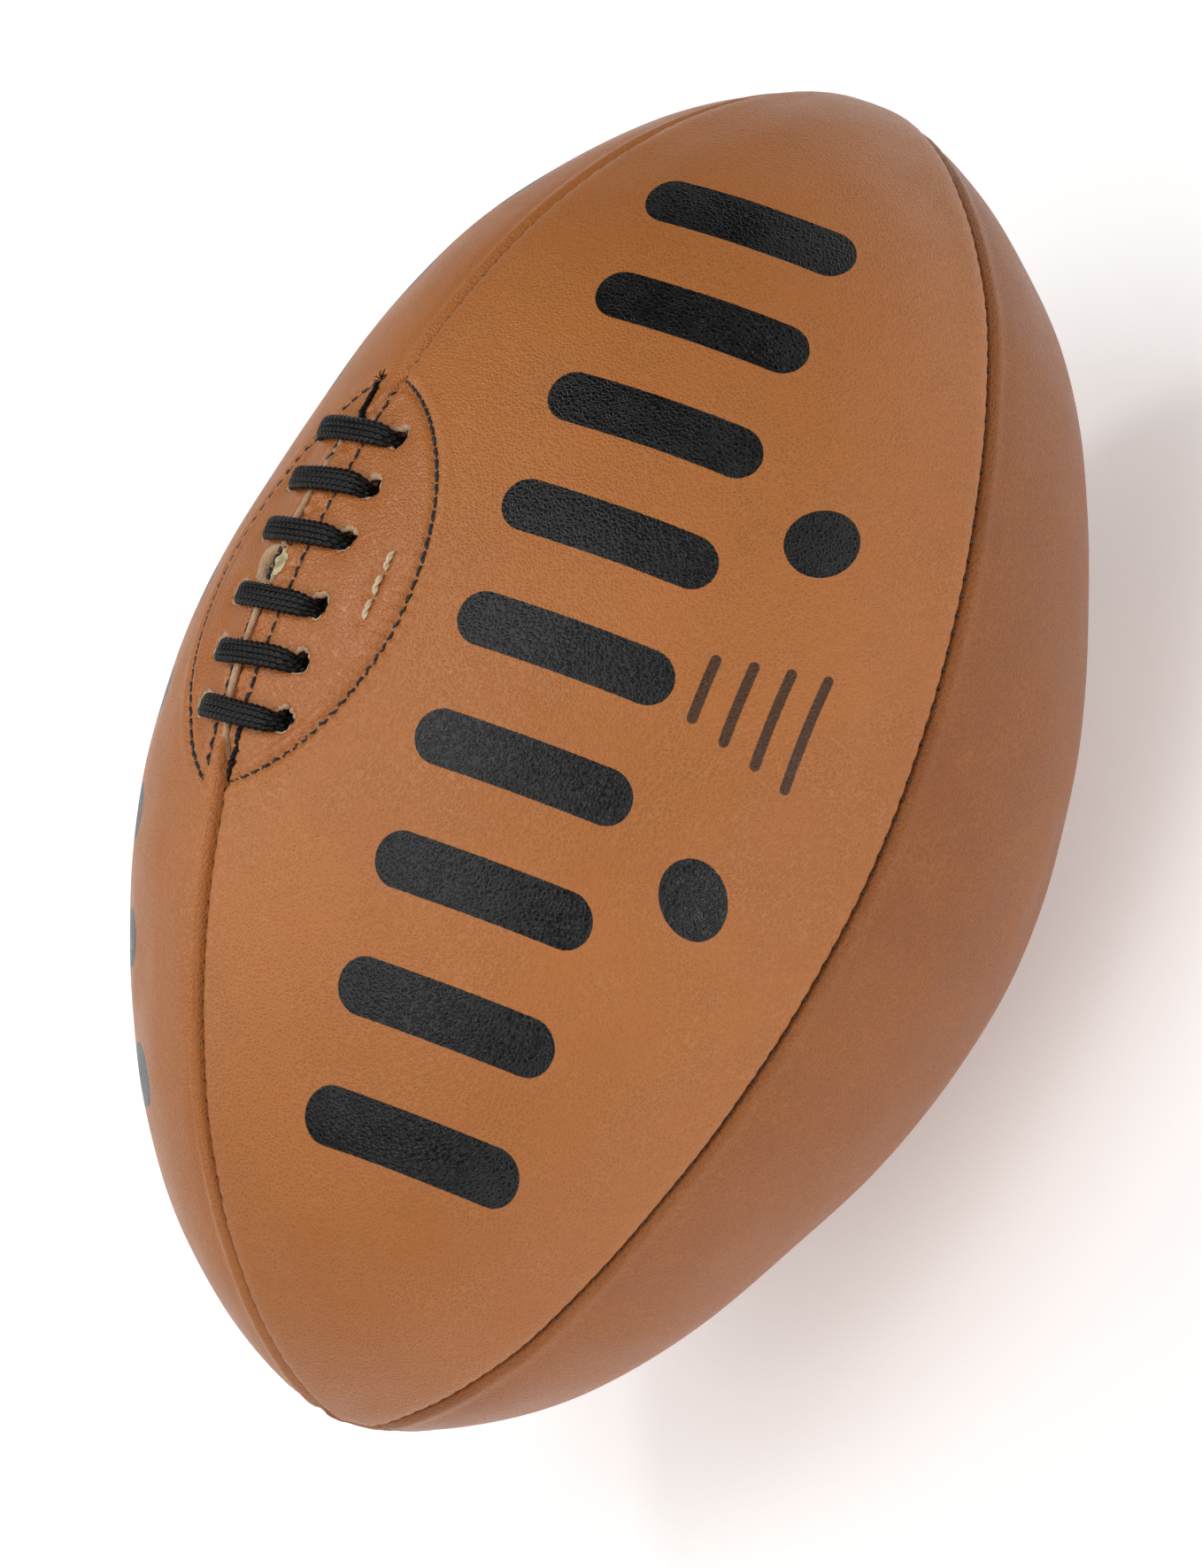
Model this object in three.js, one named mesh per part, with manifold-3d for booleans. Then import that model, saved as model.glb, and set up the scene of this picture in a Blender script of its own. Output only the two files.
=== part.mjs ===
// A laced leather rugby ball: four sewn panels over canvas lining, a rubber bladder with its valve,
// and a flat black lace through twelve punched holes.
// Millimetres, +Z up, origin at the ball's centre. X is the long axis, the lacing is on top (+Z),
// and the four long seams run along the top, back (+Y), bottom and front (-Y).

import * as THREE from 'three';
import { mergeVertices } from 'three/addons/utils/BufferGeometryUtils.js';
import Module from 'manifold-3d';

const wasm = await Module();
wasm.setup();

// The ball's outline is radius = halfWidth * (1 - (x / halfLength)^endPower)^bellyPower.
const halfLength = 148;
const halfWidth = 92.5;
const endPower = 1.95;
const bellyPower = 0.6;
const stepsAlong = 16;
const stepsAround = 36;

// Every piece keeps this much room to its neighbours.
const gap = 0.3;

// Solids that are joined into one piece run this far into each other.
const lap = 0.2;

// Layers, as depths below the outer surface. A negative depth stands proud of it.
// From outside in: leather, lining and facings, inner lace runs, tongue, twine, bladder.
const leatherInside = 1.8;
const liningOutside = leatherInside + gap;
const liningInside = liningOutside + 0.7;
const facingInside = liningOutside + 1.6;
const innerLaceOutside = facingInside + gap;
const innerLaceInside = innerLaceOutside + 1.6;
const tongueOutside = innerLaceInside + gap;
const tongueInside = tongueOutside + 1.4;
const innerTwineOutside = tongueInside + gap;
const innerTwineInside = innerTwineOutside + 0.8;
const bladderSlack = 0.5;
const dentOutside = innerTwineInside + gap + bladderSlack;
const bladderWall = 0.8;
const bladderStepsAlong = 12;
const bladderStepsAround = 24;
const seamFlangeInside = 4;
const bladderOutside = seamFlangeInside + gap + bladderSlack;
const dentMargin = 1;

// Seams: a narrow slit between two panels, wider near the surface where the thread lies.
const slitHalfWidth = gap / 2;
const grooveHalfWidth = 0.8;
const grooveDepth = 1.2;
const seamFlangeWidth = 1.6;
const seamThreadWidth = 0.7;
const seamThreadTop = 0.1;
const seamThreadEnd = 7;
const crossSeamLength = 9;

// Lacing: rows of holes on both sides of the opening, spread apart in the middle for the valve.
const laceCentreX = 1.6;
const laceMiddlePitch = 14.8;
const lacePitch = 11.9;
const rowsPerHalf = 3;
const laceFrontY = -10.5;
const laceBackY = 18;
const laceWidth = 5;
const laceThickness = 1.6;
const laceClearance = 1.5;
const laceHoleRadius = 3;
const laceTailLength = 10;
const laceTieWidth = 2;
const laceTieY = 4.3;
const laceTieThickness = laceClearance - gap + 2 * lap;

// The opening under the lacing and the two half-round facings that stiffen it.
const openingCentreX = 1;
const openingHalfLength = 44.5;
const openingClearance = 3;
const flapRoot = 2;
const flapShoulder = 6;
const facingReach = 33;
const facingMargin = 3.5;
const tongueSetIn = 2;
const openingBulge = 6.5;
const facingSetback = 6;
const facingThreadWidth = 0.6;
const innerThreadSetIn = 1.8;
const innerThreadBulge = 0.6;
const innerThreadBackBulge = 3;

// The valve, under its eye-shaped hole between the two middle rows.
const valveX = 2.3;
const valveY = 8;
const eyeHalfLength = 4.6;
const eyeHalfWidth = 3.6;
const valveStemRadius = 3.5;
const valveFlangeRadius = 9;
const valveBoreRadius = 1.3;
const valveTop = liningOutside + 0.1;
const valveFlangeThickness = 1.2;
const valveFlangeRoom = 1.6;
const plugHeadRadius = 2.4;
const plugStemRadius = 0.95;
const plugHeadTop = 1.1;
const plugStemEnd = 8;

// The row of twine stitches that holds the tongue on the front side.
const twineCentreX = 1.8;
const twineStitch = 4.9;
const twineStitches = 3;
const twineY = -24.5;
const twineWidth = 1.2;
const twineHoleRadius = 1.2;

const skinReach = 120;
const roundSegments = 6;
const xAxis = new THREE.Vector3(1, 0, 0);
const yAxis = new THREE.Vector3(0, 1, 0);
const zAxis = new THREE.Vector3(0, 0, 1);

const materials = {
  leather: new THREE.MeshStandardMaterial({ color: 0xb07044, roughness: 0.5 }),
  rawLeather: new THREE.MeshStandardMaterial({ color: 0xc9a06c, roughness: 0.9 }),
  canvas: new THREE.MeshStandardMaterial({ color: 0xcfc3a6, roughness: 0.95 }),
  rubber: new THREE.MeshStandardMaterial({ color: 0xa8442e, roughness: 0.6 }),
  paleRubber: new THREE.MeshStandardMaterial({ color: 0xdcd6b8, roughness: 0.35 }),
  lace: new THREE.MeshStandardMaterial({ color: 0x1b1b1b, roughness: 0.7 }),
  thread: new THREE.MeshStandardMaterial({ color: 0x161514, roughness: 0.6 }),
  twine: new THREE.MeshStandardMaterial({ color: 0xd9cfae, roughness: 0.7 }),
};

const ball = new THREE.Group();

// Geometry helpers

function radiusAt(x, depth) {
  const share = Math.min(1, Math.abs(x) / (halfLength - depth));
  return (halfWidth - depth) * (1 - share ** endPower) ** bellyPower;
}

function solidFrom(geometry) {
  geometry.deleteAttribute('normal');
  geometry.deleteAttribute('uv');
  const merged = mergeVertices(geometry);
  const corners = merged.index.array;
  const triangles = [];
  for (let i = 0; i < corners.length; i += 3) {
    const [a, b, c] = corners.slice(i, i + 3);
    if (a !== b && b !== c && c !== a) {
      triangles.push(a, b, c);
    }
  }
  const vertProperties = new Float32Array(merged.attributes.position.array);
  const triVerts = new Uint32Array(triangles);
  return new wasm.Manifold(new wasm.Mesh({ numProp: 3, vertProperties, triVerts }));
}

function addPiece(name, solid, material) {
  const { vertProperties, triVerts } = solid.getMesh();
  const geometry = new THREE.BufferGeometry();
  geometry.setAttribute('position', new THREE.BufferAttribute(vertProperties, 3));
  geometry.setIndex(new THREE.BufferAttribute(triVerts, 1));
  geometry.computeVertexNormals();
  const mesh = new THREE.Mesh(geometry, material);
  mesh.name = name;
  ball.add(mesh);
}

// The whole ball's volume below a depth.
function core(depth, along = stepsAlong, around = stepsAround) {
  const profile = [];
  for (let i = 0; i <= along; i += 1) {
    const x = -(halfLength - depth) * Math.cos((Math.PI * i) / along);
    const onAxis = i === 0 || i === along;
    profile.push(new THREE.Vector2(onAxis ? 0 : radiusAt(x, depth), x));
  }
  const lathe = new THREE.LatheGeometry(profile, around);
  lathe.rotateZ(-Math.PI / 2);
  return solidFrom(lathe);
}

function layer(outside, inside) {
  return core(outside).subtract(core(inside));
}

// An outline in the XY plane, raised through the top half of the ball.
function column(shape) {
  const options = { depth: skinReach, bevelEnabled: false, curveSegments: roundSegments };
  return solidFrom(new THREE.ExtrudeGeometry(shape, options));
}

// An outline in the YZ plane, drawn out along the ball, centred at x and turned about the X axis.
function beam(shape, turn = 0, x = 0) {
  const length = x === 0 ? 4 * skinReach : 2 * skinReach;
  const options = { depth: length, bevelEnabled: false, curveSegments: roundSegments };
  const geometry = new THREE.ExtrudeGeometry(shape, options);
  geometry.translate(0, 0, x - length / 2);
  geometry.rotateZ(turn);
  geometry.applyMatrix4(new THREE.Matrix4().makeBasis(yAxis, zAxis, xAxis));
  return solidFrom(geometry);
}

function rectangle(x, y, width, height) {
  const shape = new THREE.Shape();
  shape.moveTo(x - width / 2, y - height / 2);
  shape.lineTo(x + width / 2, y - height / 2);
  shape.lineTo(x + width / 2, y + height / 2);
  shape.lineTo(x - width / 2, y + height / 2);
  shape.closePath();
  return shape;
}

function disc(x, y, radius) {
  const shape = new THREE.Shape();
  shape.absarc(x, y, radius, 0, 2 * Math.PI, false);
  return shape;
}

// A pointed shape of two equal arcs between its tips on y = 0.
function lens(x, y, halfLong, halfWide) {
  const radius = (halfLong ** 2 + halfWide ** 2) / (2 * halfWide);
  const lean = Math.atan2(radius - halfWide, halfLong);
  const shape = new THREE.Shape();
  shape.absarc(x, y - radius + halfWide, radius, lean, Math.PI - lean, false);
  shape.absarc(x, y + radius - halfWide, radius, Math.PI + lean, 2 * Math.PI - lean, false);
  return shape;
}

// The opening: its front lip reaches past the top seam as a shallow flap. The curve peaks at
// three quarters of its two control points' height.
function flap(grow) {
  const control = (openingBulge + grow) * (4 / 3);
  const start = openingCentreX - openingHalfLength;
  const end = openingCentreX + openingHalfLength;
  const shape = new THREE.Shape();
  shape.moveTo(start, -flapRoot);
  shape.lineTo(end, -flapRoot);
  shape.lineTo(end, grow);
  shape.bezierCurveTo(end - flapShoulder, control, start + flapShoulder, control, start, grow);
  shape.closePath();
  return column(shape);
}

// The facings reach past their outer stitch line by a margin.
function facingField(grow) {
  const margin = facingMargin + grow;
  return column(lens(openingCentreX, 0, openingHalfLength + margin, facingReach + margin));
}

// Lace rows run from the far end (+X) to the near end.
function laceRows() {
  const rows = [];
  for (let i = rowsPerHalf - 1; i >= 0; i -= 1) {
    rows.push(laceCentreX + laceMiddlePitch / 2 + i * lacePitch);
  }
  for (let i = 0; i < rowsPerHalf; i += 1) {
    rows.push(laceCentreX - laceMiddlePitch / 2 - i * lacePitch);
  }
  return rows;
}

function twineHoles() {
  const holes = [];
  for (let i = 0; i <= twineStitches; i += 1) {
    holes.push(twineCentreX + (i - twineStitches / 2) * twineStitch);
  }
  return holes;
}

function punched(solid) {
  let cut = solid;
  for (const x of laceRows()) {
    cut = cut.subtract(column(disc(x, laceFrontY, laceHoleRadius)));
    cut = cut.subtract(column(disc(x, laceBackY, laceHoleRadius)));
  }
  return pierced(cut);
}

function pierced(solid) {
  let cut = solid;
  for (const x of twineHoles()) {
    cut = cut.subtract(column(disc(x, twineY, twineHoleRadius)));
  }
  return cut;
}

// Panels. Two of them, opposite each other, have blunt ends that meet in a short cross seam at
// each pole. The other two come to a point at its ends.

function quarter(side, rise, blunt, inset) {
  const middle = inset + skinReach / 2;
  const square = beam(rectangle(side * middle, rise * middle, skinReach, skinReach));
  if (!blunt) {
    return square.subtract(beam(disc(0, 0, crossSeamLength / 2 + inset)));
  }
  const facing = Math.atan2(rise, side);
  const centre = inset * Math.SQRT1_2;
  const tip = new THREE.Shape();
  const radius = crossSeamLength / 2 - inset;
  const quarterTurn = Math.PI / 2;
  tip.absarc(side * centre, rise * centre, radius, facing - quarterTurn, facing + quarterTurn, false);
  return square.add(beam(tip));
}

function leatherPanel(side, rise, blunt, hasLip) {
  const whole = quarter(side, rise, blunt, slitHalfWidth);
  let upperField = quarter(side, rise, blunt, grooveHalfWidth);
  let lowerField = whole;
  if (hasLip) {
    upperField = upperField.add(flap(-gap - lap));
    lowerField = lowerField.add(flap(-gap));
  }
  const upper = layer(0, grooveDepth + lap).intersect(upperField);
  const lower = layer(grooveDepth, leatherInside).intersect(lowerField);
  const band = whole.subtract(quarter(side, rise, blunt, slitHalfWidth + seamFlangeWidth));
  let flange = layer(leatherInside - lap, seamFlangeInside).intersect(band);
  if (rise > 0) {
    flange = flange.subtract(facingField(gap));
  }
  return upper.add(lower).add(flange);
}

function liningPanel(side, rise, blunt) {
  const inset = slitHalfWidth + seamFlangeWidth + gap;
  const sheet = layer(liningOutside, liningInside).intersect(quarter(side, rise, blunt, inset));
  return rise > 0 ? sheet.subtract(facingField(gap)) : sheet;
}

function makePanels() {
  const eye = column(lens(valveX, valveY, eyeHalfLength, eyeHalfWidth));
  const frontTop = punched(leatherPanel(-1, 1, true, true)).subtract(eye);
  const backTop = punched(leatherPanel(1, 1, false, false).subtract(flap(gap))).subtract(eye);
  addPiece('panel_front_top', frontTop, materials.leather);
  addPiece('panel_back_top', backTop, materials.leather);
  addPiece('panel_back_bottom', leatherPanel(1, -1, true, false), materials.leather);
  addPiece('panel_front_bottom', leatherPanel(-1, -1, false, false), materials.leather);
  addPiece('lining_front_top', liningPanel(-1, 1, true), materials.canvas);
  addPiece('lining_back_top', liningPanel(1, 1, false), materials.canvas);
  addPiece('lining_back_bottom', liningPanel(1, -1, true), materials.canvas);
  addPiece('lining_front_bottom', liningPanel(-1, -1, false), materials.canvas);
}

// Threads

// A strip of constant width along an arc between two tips, bulging towards the front (+1) or the
// back (-1).
function bow(direction, half, bulge, setback) {
  const radius = (half ** 2 + bulge ** 2) / (2 * bulge);
  const lean = Math.atan2(radius - bulge, half);
  const y = -direction * (setback + bulge - radius);
  const start = direction < 0 ? lean : Math.PI + lean;
  const end = direction < 0 ? Math.PI - lean : 2 * Math.PI - lean;
  const shape = new THREE.Shape();
  shape.absarc(openingCentreX, y, radius + facingThreadWidth / 2, start, end, false);
  shape.absarc(openingCentreX, y, radius - facingThreadWidth / 2, end, start, true);
  return shape;
}

function makeSeamThreads() {
  const strand = layer(seamThreadTop, seamThreadTop + seamThreadWidth);
  const reach = skinReach - seamThreadEnd;
  const middle = seamThreadEnd + reach / 2;
  const sides = [
    ['seam_thread_back', rectangle(middle, 0, reach, seamThreadWidth)],
    ['seam_thread_bottom', rectangle(0, -middle, seamThreadWidth, reach)],
    ['seam_thread_front', rectangle(-middle, 0, reach, seamThreadWidth)],
  ];
  for (const [name, section] of sides) {
    addPiece(name, strand.intersect(beam(section)), materials.thread);
  }
  const top = strand.intersect(beam(rectangle(0, middle, seamThreadWidth, reach)));
  for (const [end, label] of [[-1, 'near'], [1, 'far']]) {
    const openingEnd = openingCentreX + end * (openingHalfLength + openingClearance);
    const span = rectangle(openingEnd + end * skinReach, 0, 2 * skinReach, skinReach);
    addPiece(`seam_thread_top_${label}`, top.intersect(column(span)), materials.thread);
    const cross = rectangle(0, 0, crossSeamLength - 2 * gap, seamThreadWidth);
    const tip = beam(cross, Math.PI / 4, end * skinReach);
    addPiece(`cross_seam_thread_${label}`, strand.intersect(tip), materials.thread);
  }
}

function makeFacingThreads() {
  const strand = layer(-(gap + facingThreadWidth), -gap);
  const outerHalf = openingHalfLength;
  const innerHalf = openingHalfLength - innerThreadSetIn;
  const outlines = [
    ['facing_thread_front_outer', bow(1, outerHalf, facingReach, 0)],
    ['facing_thread_front_inner', bow(1, innerHalf, innerThreadBulge, 0)],
    ['facing_thread_back_outer', bow(-1, outerHalf, facingReach - facingSetback, facingSetback)],
    ['facing_thread_back_inner', bow(-1, innerHalf, innerThreadBackBulge, facingSetback)],
  ];
  for (const [name, outline] of outlines) {
    addPiece(name, strand.intersect(column(outline)), materials.thread);
  }
}

// Lacing

function makeFacings() {
  const field = layer(liningOutside, facingInside).intersect(facingField(0));
  const frontHalf = column(rectangle(0, -skinReach / 2, 2 * skinReach, skinReach));
  const valveHole = column(disc(valveX, valveY, valveStemRadius + gap));
  const front = field.intersect(frontHalf.add(flap(-gap)));
  const back = field.subtract(frontHalf.add(flap(gap)));
  addPiece('facing_front', punched(front).subtract(valveHole), materials.rawLeather);
  addPiece('facing_back', punched(back).subtract(valveHole), materials.rawLeather);
}

function makeTongue() {
  const valveHole = column(disc(valveX, valveY, valveStemRadius + gap));
  const sheet = layer(tongueOutside, tongueInside).intersect(facingField(-tongueSetIn));
  addPiece('tongue', pierced(sheet).subtract(valveHole), materials.rawLeather);
}

// One lace, laid as straight bars outside and short runs along each side inside, with its first
// and last ends tucked in and its tied ends lying along the opening.
function makeLace() {
  const rows = laceRows();
  const top = -(laceClearance + laceThickness);
  const outer = layer(top, -laceClearance);
  const inner = layer(innerLaceOutside, innerLaceInside);
  const through = layer(top + lap, innerLaceInside - lap);
  const middleY = (laceFrontY + laceBackY) / 2;
  const barLength = laceBackY - laceFrontY + laceThickness + lap;
  const legWidth = laceWidth - lap;
  let lace = null;
  const join = (solid) => {
    lace = lace === null ? solid : lace.add(solid);
  };
  rows.forEach((x, i) => {
    join(outer.intersect(column(rectangle(x, middleY, laceWidth, barLength))));
    join(through.intersect(column(rectangle(x, laceFrontY, legWidth, laceThickness))));
    join(through.intersect(column(rectangle(x, laceBackY, legWidth, laceThickness))));
    if (i + 1 < rows.length) {
      const y = i % 2 === 0 ? laceFrontY : laceBackY;
      const middle = (x + rows[i + 1]) / 2;
      const run = x - rows[i + 1] + laceWidth;
      join(inner.intersect(column(rectangle(middle, y, run, laceWidth))));
    }
  });
  const tieLevel = layer(-(gap + laceTieThickness), -gap);
  for (const [x, way] of [[rows[0], 1], [rows[rows.length - 1], -1]]) {
    const tail = rectangle(x, laceBackY - laceTailLength / 2, laceWidth, laceTailLength);
    join(inner.intersect(column(tail)));
    const tieX = x + (way * laceTailLength) / 2;
    join(tieLevel.intersect(column(rectangle(tieX, laceTieY, laceTailLength, laceTieWidth))));
  }
  addPiece('lace', lace, materials.lace);
}

function makeTwine() {
  const length = twineStitches * twineStitch + twineWidth;
  const line = column(rectangle(twineCentreX, twineY, length, twineWidth));
  let twine = layer(-(gap + twineWidth), -gap).intersect(line);
  twine = twine.add(layer(innerTwineOutside, innerTwineInside).intersect(line));
  const through = layer(lap - gap - twineWidth, innerTwineInside - lap);
  const legWidth = twineWidth - lap;
  for (const x of twineHoles()) {
    twine = twine.add(through.intersect(column(rectangle(x, twineY, legWidth, legWidth))));
  }
  addPiece('tongue_twine', twine, materials.twine);
}

// Bladder and valve

// The bladder's rubber is one wall thick all over, and sinks in under the lacing.
function bladderVolume(inset) {
  const whole = core(bladderOutside + inset, bladderStepsAlong, bladderStepsAround);
  const low = core(dentOutside + inset, bladderStepsAlong, bladderStepsAround);
  const field = facingField(dentMargin + inset);
  return whole.subtract(field.subtract(low));
}

function makeBladder() {
  const outside = bladderVolume(0);
  const inside = bladderVolume(bladderWall);
  const valveHole = column(disc(valveX, valveY, valveStemRadius + gap));
  addPiece('bladder', outside.subtract(inside).subtract(valveHole), materials.rubber);
}

function makeValve() {
  const flangeTop = dentOutside + bladderWall + valveFlangeRoom;
  const flangeEnd = flangeTop + valveFlangeThickness;
  const stem = layer(valveTop, flangeEnd - lap).intersect(
    column(disc(valveX, valveY, valveStemRadius)),
  );
  const flange = layer(flangeTop, flangeEnd).intersect(
    column(disc(valveX, valveY, valveFlangeRadius)),
  );
  const bore = column(disc(valveX, valveY, valveBoreRadius));
  addPiece('valve_body', stem.add(flange).subtract(bore), materials.paleRubber);
  const head = layer(plugHeadTop, valveTop - gap).intersect(
    column(disc(valveX, valveY, plugHeadRadius)),
  );
  const plugStem = layer(plugHeadTop + lap, plugStemEnd).intersect(
    column(disc(valveX, valveY, plugStemRadius)),
  );
  addPiece('valve_plug', head.add(plugStem), materials.paleRubber);
}

makePanels();
makeSeamThreads();
makeFacingThreads();
makeFacings();
makeTongue();
makeLace();
makeTwine();
makeBladder();
makeValve();

export default ball;
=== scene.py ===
# A laced leather rugby ball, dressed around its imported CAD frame.
# Metres, +Z up. X is the long axis, the lacing is on top (+Z) and the front seam faces -Y.
# phi is the angle about the X axis, from +Y (0) over the lacing (90 degrees) to the front (180).
# arc is the distance along the surface from the top seam, positive towards the front.

import math

import bpy
import numpy as np
from mathutils import Matrix, Vector


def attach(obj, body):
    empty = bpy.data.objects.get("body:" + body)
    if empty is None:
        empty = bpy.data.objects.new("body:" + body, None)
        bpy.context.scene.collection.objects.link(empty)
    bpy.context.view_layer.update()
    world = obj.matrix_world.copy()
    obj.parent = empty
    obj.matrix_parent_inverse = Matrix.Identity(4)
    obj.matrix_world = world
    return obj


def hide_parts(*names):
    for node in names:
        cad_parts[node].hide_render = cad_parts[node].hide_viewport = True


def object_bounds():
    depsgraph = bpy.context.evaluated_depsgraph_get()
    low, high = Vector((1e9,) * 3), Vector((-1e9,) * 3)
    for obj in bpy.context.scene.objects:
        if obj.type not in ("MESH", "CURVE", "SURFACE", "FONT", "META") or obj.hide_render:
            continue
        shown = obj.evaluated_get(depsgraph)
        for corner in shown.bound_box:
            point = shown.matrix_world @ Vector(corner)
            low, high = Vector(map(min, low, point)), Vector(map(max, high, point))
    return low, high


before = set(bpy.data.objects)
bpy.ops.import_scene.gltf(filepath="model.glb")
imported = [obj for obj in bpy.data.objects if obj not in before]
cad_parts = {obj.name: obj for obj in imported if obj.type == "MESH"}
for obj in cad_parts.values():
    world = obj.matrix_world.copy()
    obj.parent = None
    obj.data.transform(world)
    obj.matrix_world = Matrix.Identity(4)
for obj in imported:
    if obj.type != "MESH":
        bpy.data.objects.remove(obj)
cad_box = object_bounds()

MM = 0.001
FAR = 1.0
TOP = math.pi / 2
UPPER_BACK = math.radians(49)

# Outline: radius = HALF_WIDTH * (1 - (x / HALF_LENGTH)^END_POWER)^BELLY_POWER
HALF_LENGTH = 148 * MM
HALF_WIDTH = 92.5 * MM
END_POWER = 1.95
BELLY_POWER = 0.6

# Seams
CROSS_SEAM_HALF = 4.5 * MM
CROSS_SEAM_FADE = 20 * MM
STITCH_PITCH = 4.0 * MM
EDGE_ROLL = 1.7 * MM
SEAM_THREAD_DEPTH = 1.75 * MM
SEAM_THREAD_RADIUS = 0.5 * MM
SEAM_GAP_DEPTH = 1.3 * MM
SEAM_PULL_DEPTH = 0.48 * MM
WELT_HEIGHT = 1.7 * MM
WELT_START = (-142 * MM, -80 * MM)
WELT_END = (-38 * MM, -30 * MM)

# The opening under the lacing
OPENING_X = 1.75 * MM
OPENING_HALF = 45.25 * MM
SLIT_ARC = -6.5 * MM
SLIT_LEAN = -0.055
FACING_REACH = 33 * MM
FACING_SETBACK = 8 * MM
FACING_STITCH = 3.1 * MM
FACING_THREAD_RADIUS = 0.46 * MM
FACING_THREAD_RISE = 0.38 * MM
INNER_LINE_HALF = 42.7 * MM
INNER_LINE_BULGE = 1.4 * MM

# Lacing
LACE_CENTRE_X = 1.6 * MM
LACE_MIDDLE_PITCH = 14.8 * MM
LACE_PITCH = 11.9 * MM
ROWS_PER_HALF = 3
LACE_FRONT_ARC = 10.0 * MM
LACE_BACK_ARC = -18.0 * MM
LACE_FRONT_LEAN = -0.04
LACE_BACK_LEAN = -0.075
LACE_BACK_SHIFT = 0.8 * MM
LACE_WIDTH = 5.0 * MM
LACE_THICKNESS = 1.9 * MM
LACE_STEP = 0.32 * MM
LACE_INNER_LIFT = -4.6 * MM
LACE_TAIL = 8.0 * MM
BRAID_PITCH = 1.7 * MM
BRAID_COLUMNS = 4
TIE_RADIUS = 0.75 * MM
HOLE_RADIUS = 3.1 * MM
HOLE_OFFSET_X = 0.9 * MM
HOLE_PULLS = (0.8 * MM, 1.5 * MM)

# Valve eye
VALVE_X = 2.3 * MM
VALVE_ARC = -8.2 * MM
EYE_HALF_LENGTH = 4.5 * MM
EYE_HALF_WIDTH = 4.4 * MM
SLIT_EDGE_BREAK = 4.4 * MM
VALVE_FILL = 0.98
VALVE_MIDDLE = -0.9 * MM
VALVE_BOTTOM = -5.2 * MM
# Faces of the valve's mouth deeper than this are painted near-black as shade.
VALVE_SHADE_BELOW = -2.3 * MM

# Twine stitches on the front side
TWINE_X = 1.8 * MM
TWINE_ARC = 24.8 * MM
TWINE_STITCH = 5.4 * MM
TWINE_STITCHES = 3
TWINE_RADIUS = 0.56 * MM
TWINE_INNER_LIFT = -7.0 * MM

# Panels: middle angle, whether the ends are blunt, and the side of the top seam (0 for neither)
PANELS = {
    "panel_front_top": (135, True, 1),
    "panel_back_top": (45, False, -1),
    "panel_back_bottom": (315, True, 0),
    "panel_front_bottom": (225, False, 0),
}
PANEL_WIDTH = HALF_WIDTH * math.pi / 2
LACING_WIDTH = 38 * MM
FINE_STEP = 0.62 * MM
SEAM_STEP = 1.35 * MM
WIDE_STEP = 2.6 * MM
PANEL_SNAP = 0.32 * MM
FACING_SNAP = 0.42 * MM

# How the blown-up leather swells from the even outline: height, place along X and reach, in mm
UPPER_BACK_SWELLS = ((2.0, -114, 36), (0.9, -52, 28), (-3.1, 36, 38))
LOWER_FRONT_SWELLS = ((-2.5, -88, 26), (1.1, -10, 26), (-1.0, 62, 24), (1.1, 106, 16))

# Sheets below the leather's surface
LEATHER = 1.85 * MM
LEATHER_LEAST = 1.0 * MM
LINING_TOP = -2.0 * MM
LINING = 0.7 * MM
FACING_TOP = -1.9 * MM
FACING = 1.5 * MM
FACING_MARGIN = 3.0 * MM

# Printed shapes in mm: nine bars across the panel, two dots and four short thin bars
BAR_COUNT = 9
BAR_FIRST_X = -98.0
BAR_PITCH = 24.75
BAR_MIDDLE_ARC = 68.0
BAR_LEAN = -0.03
BAR_HALF_LENGTH = 23.0
BAR_HALF_WIDTH = 5.6
DOTS = ((40.0, 104.0), (-35.4, 107.0))
DOT_RADIUS = 7.5
SMALL_BARS_X = 3.0
SMALL_BARS_PITCH = 7.5
SMALL_BARS_ARC = 104.0
SMALL_BAR_HALF = 8.0
SMALL_BAR_GROWTH = 1.8
SMALL_BAR_THICK = 1.1


# ---- outline of the ball

def radius_at(x):
    """The bare outline's radius at x."""
    share = np.minimum(1.0, np.abs(x) / HALF_LENGTH)
    return HALF_WIDTH * (1 - share**END_POWER) ** BELLY_POWER


def outline_table(steps=4000):
    """x, radius, distance along the outline from the middle, and the outward normal."""
    t = np.linspace(0, math.pi, steps + 1)
    x = -HALF_LENGTH * np.cos(t)
    x[0], x[-1] = -HALF_LENGTH, HALF_LENGTH
    r = radius_at(x)
    run = np.concatenate([[0], np.cumsum(np.hypot(np.diff(x), np.diff(r)))])
    run -= run[-1] / 2
    slope_x = np.gradient(x, run)
    slope_r = np.gradient(r, run)
    size = np.hypot(slope_x, slope_r)
    return x, r, run, -slope_r / size, slope_x / size


TABLE_X, TABLE_R, TABLE_RUN, TABLE_NX, TABLE_NR = outline_table()
RUN_HALF = float(TABLE_RUN[-1])
HALF_TABLE = len(TABLE_R) // 2
POINTED_RUN = -float(np.interp(CROSS_SEAM_HALF, TABLE_R[:HALF_TABLE], TABLE_RUN[:HALF_TABLE]))


def at_run(run):
    """x, radius and normal at a distance along the outline."""
    return [np.interp(run, TABLE_RUN, t) for t in (TABLE_X, TABLE_R, TABLE_NX, TABLE_NR)]


def run_at(x):
    """Distance along the outline at x."""
    return np.interp(x, TABLE_X, TABLE_RUN)


def ease(value, low, high):
    """A smooth step from 0 at low to 1 at high."""
    t = np.clip((value - low) / (high - low), 0, 1)
    return t * t * (3 - 2 * t)


def bell(value, width):
    """A smooth hump of height 1 at 0, about as wide as width on each side."""
    return np.exp(-((value / width) ** 2))


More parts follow.
